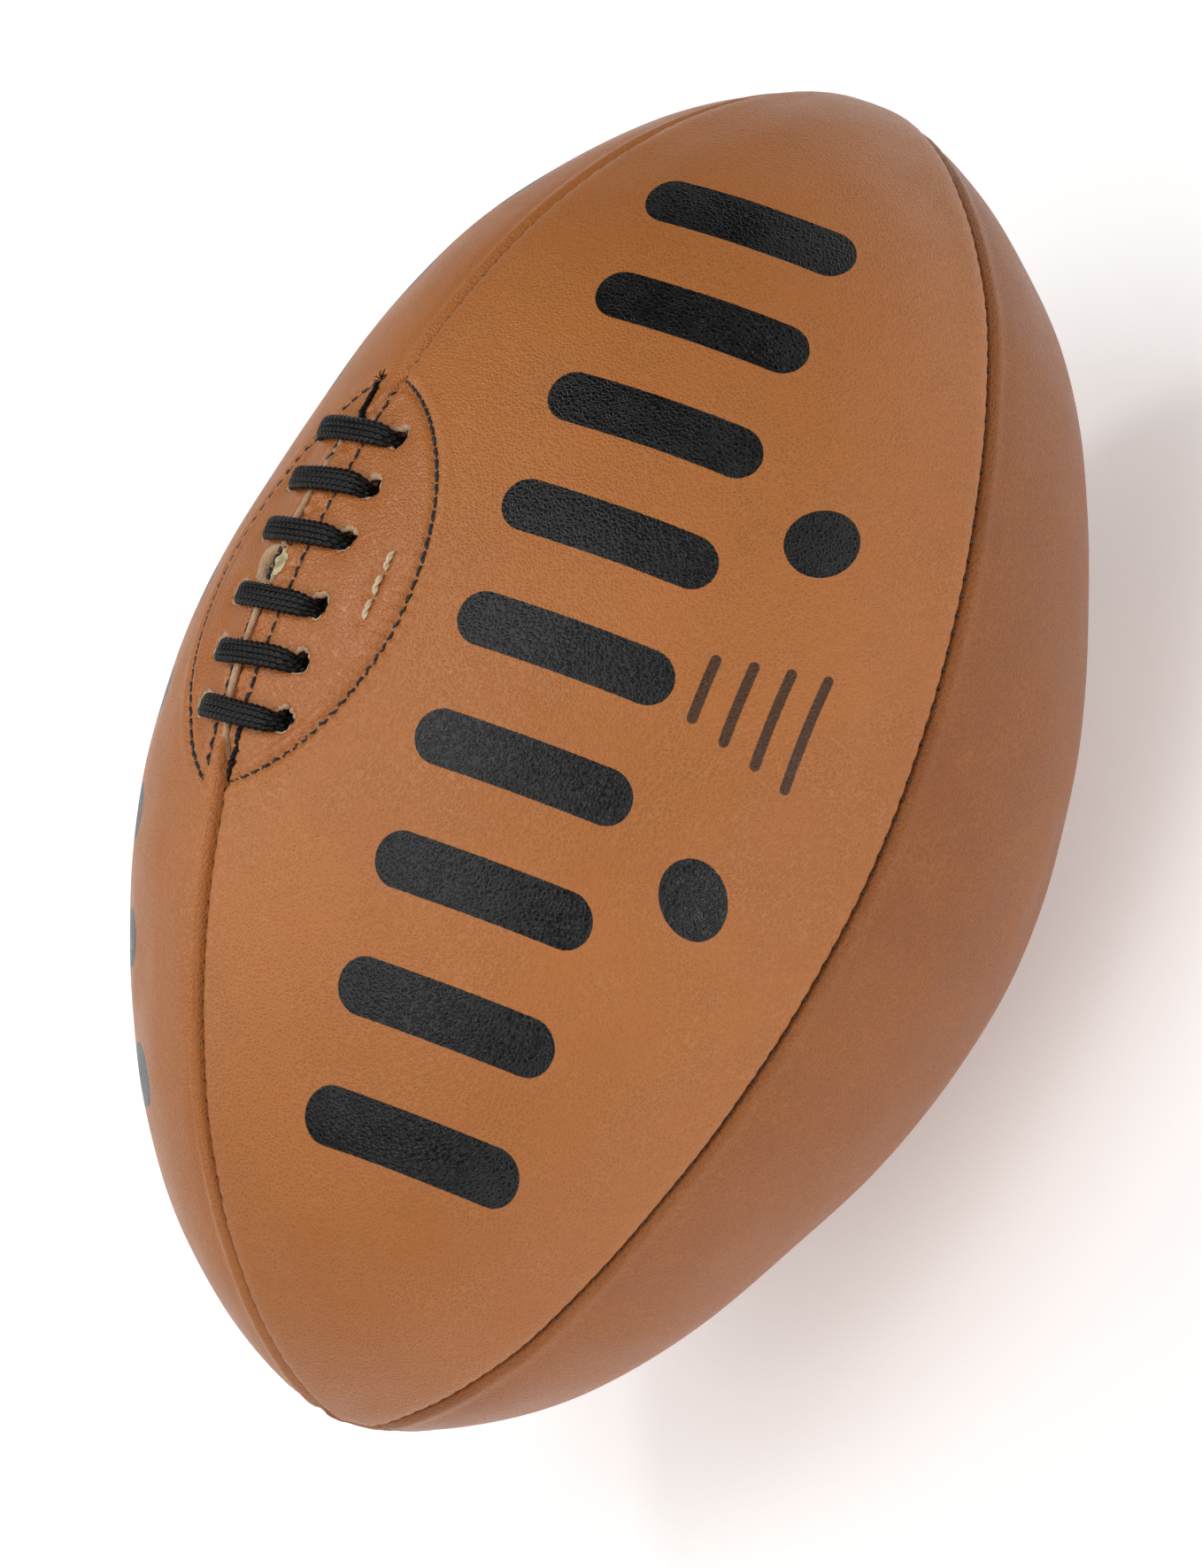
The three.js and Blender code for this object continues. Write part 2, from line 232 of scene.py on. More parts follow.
def full_turn(count):
    """Evenly spaced angles all the way round."""
    return np.linspace(0, 2 * math.pi, count, endpoint=False)


def waves(points, length, seed, count=7):
    """Smooth unevenness between about -1 and 1, the same for the same seed."""
    draw = np.random.default_rng(seed)
    total = 0
    for _ in range(count):
        way = draw.normal(size=3)
        way *= 2 * math.pi / length / np.linalg.norm(way) * draw.uniform(0.7, 1.4)
        total = total + np.sin(points @ way + draw.uniform(0, 2 * math.pi))
    return total / math.sqrt(count)


# ---- relief of the leather

def lace_rows():
    """Places of the six lace bars along X, from the far one to the near one."""
    middle = LACE_MIDDLE_PITCH / 2
    far = [LACE_CENTRE_X + middle + i * LACE_PITCH for i in reversed(range(ROWS_PER_HALF))]
    near = [LACE_CENTRE_X - middle - i * LACE_PITCH for i in range(ROWS_PER_HALF)]
    return far + near


def row_ends(x):
    """The front and back holes of the lace row at x, each as x and arc."""
    front = (x, LACE_FRONT_ARC + LACE_FRONT_LEAN * x)
    back = (x + LACE_BACK_SHIFT, LACE_BACK_ARC + LACE_BACK_LEAN * x)
    return front, back


def hole_shape(turn, number):
    """Unevenness of a punched hole's outline at an angle."""
    return 1 + 0.06 * np.sin(3 * turn + number) + 0.04 * np.sin(5 * turn + 2 * number)


def lace_holes():
    """Centres of the punched holes; the lace lies on their side nearest the opening."""
    holes = []
    for row in lace_rows():
        (front_x, front_arc), (back_x, back_arc) = row_ends(row)
        holes.append((front_x + HOLE_OFFSET_X, front_arc + HOLE_PULLS[0]))
        holes.append((back_x + HOLE_OFFSET_X, back_arc - HOLE_PULLS[1]))
    return holes


def twine_holes():
    """Needle holes of the twine stitches, along X."""
    first = TWINE_X - TWINE_STITCH * TWINE_STITCHES / 2
    return [first + i * TWINE_STITCH for i in range(TWINE_STITCHES + 1)]


def slit_arc(x):
    """Where the opening's slit runs, as an arc from the top seam."""
    along = np.abs(x - OPENING_X)
    arc = SLIT_ARC + SLIT_LEAN * (x - OPENING_X)
    return arc * (1 - ease(along, OPENING_HALF - 20 * MM, OPENING_HALF + 1 * MM))


def facing_circle(side):
    """Centre arc and radius of the outer stitch line on the front (1) or back (-1)."""
    setback = 0 if side > 0 else FACING_SETBACK
    reach = FACING_REACH - setback
    radius = (OPENING_HALF**2 + reach**2) / (2 * reach)
    return side * (setback + reach - radius), radius, setback


def facing_lines(x, arc):
    """Distance to the nearest facing stitch line, and the distance along it."""
    nearest = np.full(np.shape(x), FAR)
    along = np.zeros(np.shape(x))
    for side in (1, -1):
        centre, radius, setback = facing_circle(side)
        away = np.abs(np.hypot(x - OPENING_X, arc - centre) - radius)
        outer = np.where(side * arc >= setback - 1 * MM, away, FAR)
        turn = radius * np.arctan2(x - OPENING_X, side * (arc - centre))
        inside = np.abs(x - OPENING_X) < INNER_LINE_HALF
        inner = np.where(inside, np.abs(arc - inner_line(side, x)), FAR)
        for gap, place_along in ((outer, turn), (inner, x)):
            along = np.where(gap < nearest, place_along, along)
            nearest = np.minimum(nearest, gap)
    return nearest, along


def inner_line(side, x):
    """Arc of the inner stitch line of the front (1) or back (-1) facing."""
    share = (x - OPENING_X) / INNER_LINE_HALF
    if side > 0:
        return 0.4 * MM * (1 - share**2)
    return -FACING_SETBACK - INNER_LINE_BULGE * (1 - share**2)


def lacing_relief(x, arc, points):
    """Height of the leather around the lacing: stitch lines, holes, lips and puckers."""
    # Stitches pull the leather in, harder at the front's near end, and it swells beside them.
    q, along = facing_lines(x, arc)
    pull = 0.5 + 0.5 * np.cos(2 * math.pi * along / FACING_STITCH)
    tight = ease(-x, -14 * MM, 8 * MM) * ease(arc, 8 * MM, 12 * MM)
    h = -(0.30 + (0.34 + 0.4 * tight) * pull) * MM * bell(q, (0.75 + 0.35 * tight) * MM)
    h = h + (0.24 + 0.45 * tight * (1 - pull)) * MM * bell(q - 2.0 * MM, 1.3 * MM)
    # The lip in front of the slit, and the leather behind it.
    inside = ease(OPENING_HALF + 2 * MM - np.abs(x - OPENING_X), 0, 6 * MM)
    slit = arc - slit_arc(x)
    lip = inside * ease(slit, -0.2 * MM, 0.6 * MM) * ease(6.2 * MM - slit, 0, 1.2 * MM)
    crumple = waves(points, 3.6 * MM, 11) * 0.26 + waves(points, 1.9 * MM, 12) * 0.20
    h = h + lip * (0.30 + crumple) * MM
    h = h + inside * 0.55 * MM * bell(np.minimum(slit, 0) + 1.2 * MM, 1.6 * MM) * (slit < 0)
    # Dents at the lace holes and along the twine.
    for hole_x, hole_arc in lace_holes():
        away = np.hypot(x - hole_x, arc - hole_arc)
        h = h - 0.75 * MM * bell(away, HOLE_RADIUS + 1.6 * MM)
    for hole_x in twine_holes():
        away = np.hypot(x - hole_x, arc - TWINE_ARC)
        h = h - 0.5 * MM * bell(away, 1.3 * MM)
    band = np.hypot((x - TWINE_X) / 2.2, arc - TWINE_ARC)
    h = h - 0.55 * MM * bell(band, 3.0 * MM)
    return h


def edge_relief(edge, run, proud):
    """Height near a seam: the proud panel rolls over, the other one dips under its edge."""
    pull = (0.5 + 0.5 * np.cos(2 * math.pi * run / STITCH_PITCH)) ** 2
    roll = EDGE_ROLL * (1.0 if proud else 0.8)
    inset = np.clip(roll - edge, 0, roll)
    h = -(roll - np.sqrt(np.maximum(roll**2 - inset**2, 0)))
    h = h - SEAM_PULL_DEPTH * pull * np.exp(-edge / (1.2 * MM))
    h = h - SEAM_GAP_DEPTH * (1 - ease(edge, 0.2 * MM, 0.75 * MM))
    if proud:
        return h + 0.45 * MM * bell(edge - 3.0 * MM, 4.5 * MM) - 0.15 * MM * bell(edge, 1.5 * MM)
    h = h - 0.70 * MM * bell(edge, 2.6 * MM) + 0.42 * MM * bell(edge - 2.7 * MM, 1.2 * MM)
    return h - 0.12 * MM * bell(edge - 5.2 * MM, 1.8 * MM)


def welt_relief(x, arc):
    """The rolled bead beside the top seam, near the opening's near end."""
    fade = ease(x, *WELT_START) * (1 - ease(x, *WELT_END))
    bead = WELT_HEIGHT * bell(arc + 2.1 * MM, 1.2 * MM)
    return fade * (bead - 0.2 * MM * bell(arc + 4.6 * MM, 1.1 * MM))


# ---- panels as grids of points

def place(x, arc, lift):
    """Points at lift above the bare outline, from x and arc."""
    x = np.asarray(x, float)
    run = run_at(x)
    px, pr, nx, nr = at_run(run)
    phi = TOP + np.asarray(arc, float) / pr
    ring = pr + nr * lift
    return np.stack([px + nx * lift, ring * np.cos(phi), ring * np.sin(phi)], -1)


class Grid:
    """Points of one panel: rows follow the outline, columns go across it from edge to edge."""

    def __init__(self, middle, blunt, runs, shares, top_side=0):
        self.blunt = blunt
        self.top_side = top_side
        if not blunt:
            runs = runs * (POINTED_RUN / RUN_HALF)
        x, rho, _, _ = at_run(runs)
        self.run = runs[:, None] + 0 * shares[None, :]
        self.x = x[:, None] + 0 * self.run
        self.rho = rho[:, None] + 0 * self.run
        half = self.half_angle(rho)[:, None]
        phi = middle + half * (2 * shares[None, :] - 1)
        self.arc = (phi - TOP) * self.rho
        edges = (middle - half[:, 0], middle + half[:, 0])
        self.edge = self.rho * np.minimum(phi - edges[0][:, None], edges[1][:, None] - phi)
        self.follow_slit()
        self.near_tips(x, rho, edges)

    def half_angle(self, rho):
        reach = CROSS_SEAM_HALF / math.sqrt(2)
        shift = reach * np.exp(-np.maximum(rho - CROSS_SEAM_HALF, 0) / CROSS_SEAM_FADE)
        limit = math.sin(math.pi / 4)
        turn = np.arcsin(np.minimum(shift / np.maximum(rho, 1e-6), limit))
        return math.pi / 4 + (turn if self.blunt else -turn)

    def follow_slit(self):
        """Moves the columns by the opening so that the panel's edge lies on the slit."""
        if not self.top_side:
            return
        away = self.top_side * self.arc
        shift = slit_arc(self.x)
        self.arc = self.arc + shift * (1 - ease(away, 0, 14 * MM))
        slit_edge = self.top_side * (self.arc - shift)
        self.edge = np.where(away < 40 * MM, np.minimum(self.edge, slit_edge), self.edge)

    def near_tips(self, x, rho, edges):
        """True distances to the panel's edges near the two tips, where rows turn about them."""
        line = [np.stack([x, rho * np.cos(e), rho * np.sin(e)], -1) for e in edges]
        line = np.concatenate(line)
        line = line[np.abs(line[:, 0]) > HALF_LENGTH - 60 * MM]
        chosen = np.abs(self.x) > HALF_LENGTH - 30 * MM
        points = self.points(0)[chosen]
        gaps = np.linalg.norm(points[:, None, :] - line[None, :, :], axis=2).min(1)
        self.edge[chosen] = np.where(self.edge[chosen] <= 1e-9, 0, gaps)

    def points(self, lift):
        return place(self.x, self.arc, lift)

    def cut(self, away_from, snap):
        """Moves the points near the zero line of a signed distance onto it."""
        step = 0.05 * MM
        gap = away_from(self.x, self.arc)
        slope_x = (away_from(self.x + step, self.arc) - gap) / step
        slope_a = (away_from(self.x, self.arc + step) - gap) / step
        size = np.maximum(np.hypot(slope_x, slope_a), 0.2)
        near = np.abs(gap) < snap
        self.x = np.where(near, self.x - gap * slope_x / size**2, self.x)
        self.arc = np.where(near, self.arc - gap * slope_a / size**2, self.arc)
        return np.where(near, 0, gap)


def make_object(name, verts, faces, slots, surface, materials):
    """A smooth object with its material slots and the surface coordinates of its vertices."""
    mesh = bpy.data.meshes.new(name)
    mesh.from_pydata(verts.tolist(), [], faces)
    mesh.polygons.foreach_set("material_index", slots)
    mesh.polygons.foreach_set("use_smooth", [True] * len(faces))
    corner = np.empty(len(mesh.loops), int)
    mesh.loops.foreach_get("vertex_index", corner)
    layer = mesh.uv_layers.new(name="surface")
    layer.data.foreach_set("uv", surface[corner].ravel())
    for material in materials:
        mesh.materials.append(material)
    mesh.update()
    obj = bpy.data.objects.new(name, mesh)
    bpy.context.scene.collection.objects.link(obj)
    return obj


def finish_piece(obj, replaced=()):
    """Hides the CAD nodes that a piece stands for, and hangs the piece under the ball's root body.
    """
    if replaced:
        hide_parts(*replaced)
    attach(obj, "root")


def grid_faces(rows, columns, keep, tips):
    """Quads of the kept cells; a row that is one point at a tip gives triangles."""
    ids = np.arange(rows * columns).reshape(rows, columns)
    if tips:
        ids[0, :] = ids[0, 0]
        ids[-1, :] = ids[-1, 0]
    quads = np.stack([ids[:-1, :-1], ids[:-1, 1:], ids[1:, 1:], ids[1:, :-1]], -1)
    return [tuple(dict.fromkeys(quad)) for quad in quads[keep].tolist()]


def sheet(name, grid, top, bottom, keep, materials, tips=True):
    """A closed sheet between two lifts above the outline, with its cut edges walled in."""
    rows, columns = grid.x.shape
    faces = grid_faces(rows, columns, keep, tips)
    directed = set()
    for face in faces:
        directed.update(zip(face, face[1:] + face[:1]))
    rim = sorted(edge for edge in directed if (edge[1], edge[0]) not in directed)
    count = rows * columns
    under = [tuple(i + count for i in reversed(face)) for face in faces]
    walls = [(q, p, p + count, q + count) for p, q in rim]
    verts = np.concatenate([grid.points(top).reshape(-1, 3), grid.points(bottom).reshape(-1, 3)])
    every = faces + under + walls
    used = np.unique(np.concatenate([np.asarray(face) for face in every]))
    place_of = np.full(2 * count, -1)
    place_of[used] = np.arange(len(used))
    kept = [tuple(place_of[list(face)].tolist()) for face in every]
    slots = [0] * len(faces) + [1] * (len(under) + len(walls))
    mirrored = grid.arc * (grid.top_side or 1)
    surface = np.tile(np.stack([grid.x, mirrored], -1).reshape(-1, 2), (2, 1))[used]
    return make_object(name, verts[used], kept, slots, surface, materials)


def spread(low, high, spacing):
    """Lines from low to high whose spacing at each place is spacing(place)."""
    lines = [low]
    while lines[-1] < high:
        lines.append(lines[-1] + spacing(lines[-1]))
    lines = np.array(lines)
    return low + (lines - low) * (high - low) / (lines[-1] - low)


def row_lines(fine):
    """Rows along the outline: finest by the lacing and at the tips."""

    def spacing(run):
        middle = ease(abs(run), 47 * MM, 56 * MM) if fine else 1.0
        size = FINE_STEP + (SEAM_STEP - FINE_STEP) * middle
        return min(size, 0.5 * MM + 0.12 * max(RUN_HALF - abs(run), 0.0))

    return spread(-RUN_HALF, RUN_HALF, spacing)


def column_shares(fine_from, fine_to):
    """Columns across a panel: finest along both edges, and between two distances."""

    def spacing(place):
        edge = max(0.0, min(place, PANEL_WIDTH - place))
        away = max(fine_from - place, place - fine_to, 0.0)
        size = FINE_STEP + (WIDE_STEP - FINE_STEP) * min(1.0, away / (12 * MM))
        return min(size, 0.28 * MM + 0.2 * edge)

    return spread(0.0, PANEL_WIDTH, spacing) / PANEL_WIDTH


def panel_grid(name):
    middle, blunt, side = PANELS[name]
    if side > 0:
        shares = column_shares(0.0, LACING_WIDTH)
    elif side < 0:
        shares = column_shares(PANEL_WIDTH - LACING_WIDTH, PANEL_WIDTH)
    else:
        shares = column_shares(-PANEL_WIDTH, -PANEL_WIDTH)
    return Grid(math.radians(middle), blunt, row_lines(side != 0), shares, side)


def swells(x, table):
    """The sum of a table of smooth swells along X."""
    return sum(height * MM * bell(x - at * MM, reach * MM) for height, at, reach in table)


def body_relief(points):
    """How the blown-up leather departs from the even outline: flatter behind the lacing,
    fuller at the near end's upper back, and slightly wavy everywhere."""
    x = points[..., 0]
    turn = np.arctan2(points[..., 2], points[..., 1]) - UPPER_BACK
    back = np.maximum(np.cos(turn), 0) ** 2
    front = np.maximum(-np.cos(turn), 0) ** 2
    ripple = 0.16 * MM * waves(points, 58 * MM, 3) + 0.07 * MM * waves(points, 21 * MM, 4)
    return back * swells(x, UPPER_BACK_SWELLS) + front * swells(x, LOWER_FRONT_SWELLS) + ripple


def opening_share(x):
    """1 along the opening, 0 beyond its two tips."""
    return ease(OPENING_HALF + 1 * MM - np.abs(x - OPENING_X), 0, 5 * MM)


def panel_relief(grid):
    """Height of one panel's leather over the bare outline, with all its relief."""
    base = grid.points(0)
    seam = edge_relief(grid.edge, grid.run, grid.blunt)
    h = body_relief(base)
    if not grid.top_side:
        return h + seam
    inside = opening_share(grid.x) * (np.abs(grid.arc) < 60 * MM)
    cut_edge = -0.8 * MM * (1 - ease(grid.edge, 0, 0.9 * MM))
    h = h + seam * (1 - inside) + cut_edge * inside
    if grid.top_side < 0:
        h = h + welt_relief(grid.x, grid.arc)
    near = np.abs(grid.arc) < 48 * MM
    lacing = lacing_relief(grid.x, grid.arc, base)
    return h + np.where(near, lacing, 0)


def on_leather(x, arc, lift):
    """Points at a lift above the leather about the lacing."""
    x, arc, lift = np.broadcast_arrays(*(np.asarray(v, float) for v in (x, arc, lift)))
    base = place(x, arc, 0)
    h = body_relief(base) + lacing_relief(x, arc, base)
    return place(x, arc, h + lift)


def hole_gaps():
    """Signed distances to the punched holes and the valve's eye, on the leather."""
    gaps = []
    for number, (hole_x, hole_arc) in enumerate(lace_holes()):
        def gap(x, arc, hole_x=hole_x, hole_arc=hole_arc, number=number):
            turn = np.arctan2(arc - hole_arc, x - hole_x)
            return np.hypot(x - hole_x, arc - hole_arc) - HOLE_RADIUS * hole_shape(turn, number)

        gaps.append(gap)

    def eye(x, arc):
        along = np.abs(x - VALVE_X) / EYE_HALF_LENGTH
        across = np.abs(arc - VALVE_ARC) / EYE_HALF_WIDTH
        return (np.sqrt(along**2.2 + across**1.7) - 1) * EYE_HALF_WIDTH

    gaps.append(eye)
    return gaps


def cell_means(values):
    """The mean of each grid cell's four corners."""
    return (values[:-1, :-1] + values[:-1, 1:] + values[1:, 1:] + values[1:, :-1]) / 4


def open_cells(grid, gaps, snap):
    """The cells outside all the holes, with the points nearby moved onto the holes' edges."""
    rows, columns = grid.x.shape
    keep = np.ones((rows - 1, columns - 1), bool)
    for gap in gaps:
        keep &= cell_means(grid.cut(gap, snap)) > 0
    return keep


def make_panel(name, leather, raw):
    """One leather panel: full relief outside, its raw side and cut edges inside."""
    grid = panel_grid(name)
    keep = open_cells(grid, hole_gaps() if grid.top_side else (), PANEL_SNAP)
    top = panel_relief(grid)
    bottom = np.minimum(top - LEATHER_LEAST, body_relief(grid.points(0)) - LEATHER)
    obj = sheet(name.replace("panel", "leather"), grid, top, bottom, keep, (leather, raw))
    finish_piece(obj, (name,))


# ---- lining and facings

def facing_gap(x, arc):
    """Signed distance to the outline of the two facings together, negative inside."""
    gaps = []
    for side in (1, -1):
        centre, radius, _ = facing_circle(side)
        gaps.append(np.where(side * arc >= 0, np.hypot(x - OPENING_X, arc - centre) - radius, FAR))
    return np.minimum(*gaps) - FACING_MARGIN


def make_lining(name, canvas):
    """One canvas sheet under a leather panel, cut away where the facings lie."""
    middle, blunt, side = PANELS[name.replace("lining", "panel")]
    shares = spread(0.0, 1.0, lambda place: 0.018)
    runs = spread(-RUN_HALF, RUN_HALF, lambda run: 2.4 * MM)
    grid = Grid(math.radians(middle), blunt, runs, shares, side)
    keep = open_cells(grid, (), 0)
    if side:
        keep = cell_means(facing_gap(grid.x, grid.arc)) > 0
    dip = -1.6 * MM * bell(grid.edge, 2.6 * MM)
    top = body_relief(grid.points(0)) + dip + LINING_TOP
    obj = sheet(name.replace("lining", "canvas"), grid, top, top - LINING, keep, (canvas, canvas))
    finish_piece(obj, (name,))


class Patch:
    """Points of a facing: rows along the opening, columns from the slit to the outer edge."""

    points = Grid.points
    cut = Grid.cut
    top_side = 0

    def __init__(self, side, step=0.8 * MM):
        centre, radius, _ = facing_circle(side)
        outer = radius + FACING_MARGIN
        half = OPENING_HALF + 1.5 * MM
        x = np.linspace(OPENING_X - half, OPENING_X + half, int(2 * half / step))
        reach = centre + side * np.sqrt(np.maximum(outer**2 - (x - OPENING_X) ** 2, 0))
        inner = slit_arc(x) + side * 0.25 * MM
        reach = side * np.maximum(side * reach, side * inner + 0.6 * MM)
        share = np.linspace(0, 1, int(FACING_REACH / step))[::side]
        self.arc = inner[:, None] + (reach - inner)[:, None] * share[None, :]
        self.x = x[:, None] + 0 * self.arc


def make_facing(name, side, raw):
    """The half-round leather under the front (1) or back (-1) row of holes."""
    patch = Patch(side)
    keep = open_cells(patch, hole_gaps(), FACING_SNAP)
    base = patch.points(0)
    dents = np.minimum(lacing_relief(patch.x, patch.arc, base), 0)
    top = body_relief(base) + dents + FACING_TOP
    obj = sheet(name + "_leather", patch, top, top - FACING, keep, (raw, raw), tips=False)
    finish_piece(obj, (name,))


# ---- cords, stitches and small parts

class Builder:
    """Collects vertices and faces, and makes one smooth object of them."""

    def __init__(self):
        self.verts = []
        self.faces = []
        self.slots = []
        self.surface = []
        self.count = 0

    def add(self, verts, faces, slot=0, surface=None):
        verts = np.asarray(verts, float).reshape(-1, 3)
        self.faces += [tuple(int(i) + self.count for i in face) for face in faces]
        self.slots += np.broadcast_to(slot, len(faces)).tolist()
        self.verts.append(verts)
        self.surface.append(np.zeros((len(verts), 2)) if surface is None else surface)
        self.count += len(verts)

    def make(self, name, materials, replaced=()):
        verts = np.concatenate(self.verts)
        surface = np.concatenate(self.surface)
        obj = make_object(name, verts, self.faces, self.slots, surface, materials)
        finish_piece(obj, replaced)


def unit(vectors):
    """The same directions at length 1."""
    return vectors / np.maximum(np.linalg.norm(vectors, axis=-1, keepdims=True), 1e-12)


def run_along(path):
    """Distance along a path at each of its points."""
    return np.concatenate([[0], np.cumsum(np.linalg.norm(np.diff(path, axis=0), axis=1))])


def band_faces(rings, sides, closed=False):
    """Quads between neighbouring rings, and from the last ring to the first if closed."""
    faces = []
    for i in range(rings if closed else rings - 1):
        n = (i + 1) % rings
        for j in range(sides):
            k = (j + 1) % sides
            faces.append((i * sides + j, i * sides + k, n * sides + k, n * sides + j))
    return faces


def last_cap(rings, sides):
    """The face that closes the last ring."""
    return tuple((rings - 1) * sides + j for j in range(sides))


def tube_faces(rings, sides):
    """Faces of a closed tube made of rings of points."""
    return band_faces(rings, sides) + [tuple(reversed(range(sides))), last_cap(rings, sides)]


def sweep(builder, path, side, section):
    """Sweeps sections (rings of side and rise offsets) along a path with given side vectors.
    The surface coordinates are the distance along the path and the share of the width."""
    tangent = unit(np.gradient(path, axis=0))
    side = unit(side - tangent * np.sum(side * tangent, -1, keepdims=True))
    rise = np.cross(tangent, side)
    rings = path[:, None] + side[:, None] * section[..., :1] + rise[:, None] * section[..., 1:]
    reach = np.maximum(np.abs(section[..., 0]).max(1, keepdims=True), 1e-9)
    across = section[..., 0] / reach
    surface = np.stack([run_along(path)[:, None] + 0 * across, across], -1).reshape(-1, 2)
    builder.add(rings, tube_faces(*rings.shape[:2]), 0, surface)


def round_section(radius, sides=8):
    """Circles of the given radii, one for each point of a path."""
    angle = full_turn(sides)
    circle = np.stack([np.cos(angle), np.sin(angle)], -1)
    return np.asarray(radius, float)[:, None, None] * circle[None]


def outward(points):
    """Directions away from the ball's axis, leaning with its outline."""
    _, _, nx, nr = at_run(run_at(points[..., 0]))
    ring = unit(points * np.array([0.0, 1, 1]))
    return unit(np.stack([nx, nr * ring[..., 1], nr * ring[..., 2]], -1))


def any_side(path):
    """Side vectors that lie along the leather, across the path."""
    tangent = unit(np.gradient(path, axis=0))
    return unit(np.cross(outward(path), tangent))


def two_ply(builder, path, radius, turns, phase=0.0, sides=7, taper=0.25):
    """A stitch of two strands twisted about each other, thinner at its two ends."""
    count = len(path)
    share = np.linspace(0, 1, count)
    size = taper + (1 - taper) * np.clip(np.sin(math.pi * share) * 1.9, 0, 1)
    side = any_side(path)
    rise = outward(path)
    for ply in range(2):
        angle = phase + math.pi * ply + 2 * math.pi * turns * share
        offset = 0.48 * radius * size
        line = path + side * (np.cos(angle) * offset)[:, None]
        line = line + rise * (np.sin(angle) * offset)[:, None]
        sweep(builder, line, any_side(line), round_section(0.62 * radius * size, sides))


def stitch_row(builder, x, arc, length, radius, height, sink=0.0, seed=1):
    """Stitches of a length along a line on the leather, dipping into it at their ends."""
    line = on_leather(x, arc, 0)
    run = run_along(line)
    draw = np.random.default_rng(seed)
    total = int(run[-1] / length)
    first = (run[-1] - total * length) / 2
    needle = first + length * np.arange(total + 1)
    for i in range(total):
        low = needle[i] + 0.01 * length
        high = needle[i + 1] - 0.01 * length
        at = np.linspace(low, high, 11)
        share = np.linspace(0, 1, 11)
        sunk = sink * ease(-np.interp(low, run, x), -14 * MM, 6 * MM)
        lift = height * np.sin(math.pi * share) ** 0.45 - 0.45 * radius - sunk
        lean = draw.normal(0, 0.10 * radius)
        px = np.interp(at, run, x)
        pa = np.interp(at, run, arc) + lean * (share - 0.5)
        path = on_leather(px, pa, lift + draw.normal(0, 0.04 * radius))
        two_ply(builder, path, radius * draw.uniform(0.92, 1.08), 1.1, draw.uniform(0, 6))
    return np.interp(needle, run, x), np.interp(needle, run, arc)


def needle_fibres(builder, x, arc, seed):
    """Short raw fibres that stand out of the needle holes of a stitch line."""
    draw = np.random.default_rng(seed)
    share = np.linspace(0, 1, 5)
    for hole_x, hole_arc in zip(x, arc):
        for _ in range(3):
            way = draw.uniform(0, 2 * math.pi)
            reach = draw.uniform(0.5, 1.15) * MM * share
            lift = draw.uniform(0.15, 0.5) * MM * share - 0.15 * MM
            path = on_leather(hole_x + reach * math.cos(way), hole_arc + reach * math.sin(way), lift)
            sweep(builder, path, any_side(path), round_section(0.15 * MM * (1 - 0.7 * share), 5))


def facing_outer_line(side, count=240):
    """The half-round stitch line of the front (1) or back (-1) facing."""
    centre, radius, _ = facing_circle(side)
    half = math.asin(OPENING_HALF / radius)
    turn = np.linspace(-half, half, count)
    return OPENING_X + radius * np.sin(turn), centre + side * radius * np.cos(turn)


def facing_inner_line(side, count=200):
    """The stitch line beside the opening, on the front (1) or back (-1)."""
    x = np.linspace(OPENING_X - INNER_LINE_HALF, OPENING_X + INNER_LINE_HALF, count)
    return x, inner_line(side, x)


def make_facing_threads(thread, raw):
    """The four stitch lines of the facings, and the raw fibres in their needle holes."""
    fibres = Builder()
    for side, name in ((1, "front"), (-1, "back")):
        for line, part in ((facing_outer_line, "outer"), (facing_inner_line, "inner")):
            builder = Builder()
            x, arc = line(side)
            sink = 0.16 * MM if (name, part) == ("front", "outer") else 0.0
            seed = len(part) + side
            holes = stitch_row(builder, x, arc, FACING_STITCH, FACING_THREAD_RADIUS,
                               FACING_THREAD_RISE, sink, seed)
            needle_fibres(fibres, *holes, seed)
            replaced = f"facing_thread_{name}_{part}"
            builder.make(f"stitches_{name}_{part}", (thread,), (replaced,))
    fibres.make("needle_fibres", (raw,))


def seam_stitches(builder, phi, low, high):
    """Short dark stitches down in a seam's groove, at the stitch pitch."""
    first = math.ceil(low / STITCH_PITCH)
    last = math.floor(high / STITCH_PITCH)
    for i in range(first, last):
        at = np.linspace((i + 0.12) * STITCH_PITCH, (i + 0.88) * STITCH_PITCH, 9)
        x, rho, _, _ = at_run(at)
        share = np.linspace(0, 1, 9)
        bare = place(x, (phi - TOP) * rho, 0)
        lift = body_relief(bare) - SEAM_THREAD_DEPTH + 0.35 * MM * np.sin(math.pi * share)
        two_ply(builder, place(x, (phi - TOP) * rho, lift), SEAM_THREAD_RADIUS, 1.0, i, sides=6)
        across = np.linspace(-1.0, 1.0, 9)
        x, rho, _, _ = at_run(at[0] + 0 * across)
        arc = (phi - TOP) * rho + 1.1 * MM * across
        lift = body_relief(place(x, arc, 0)) - 1.25 * MM + 0.45 * MM * np.cos(math.pi * across / 2)
        two_ply(builder, place(x, arc, lift), 0.34 * MM, 0.5, i, sides=6)


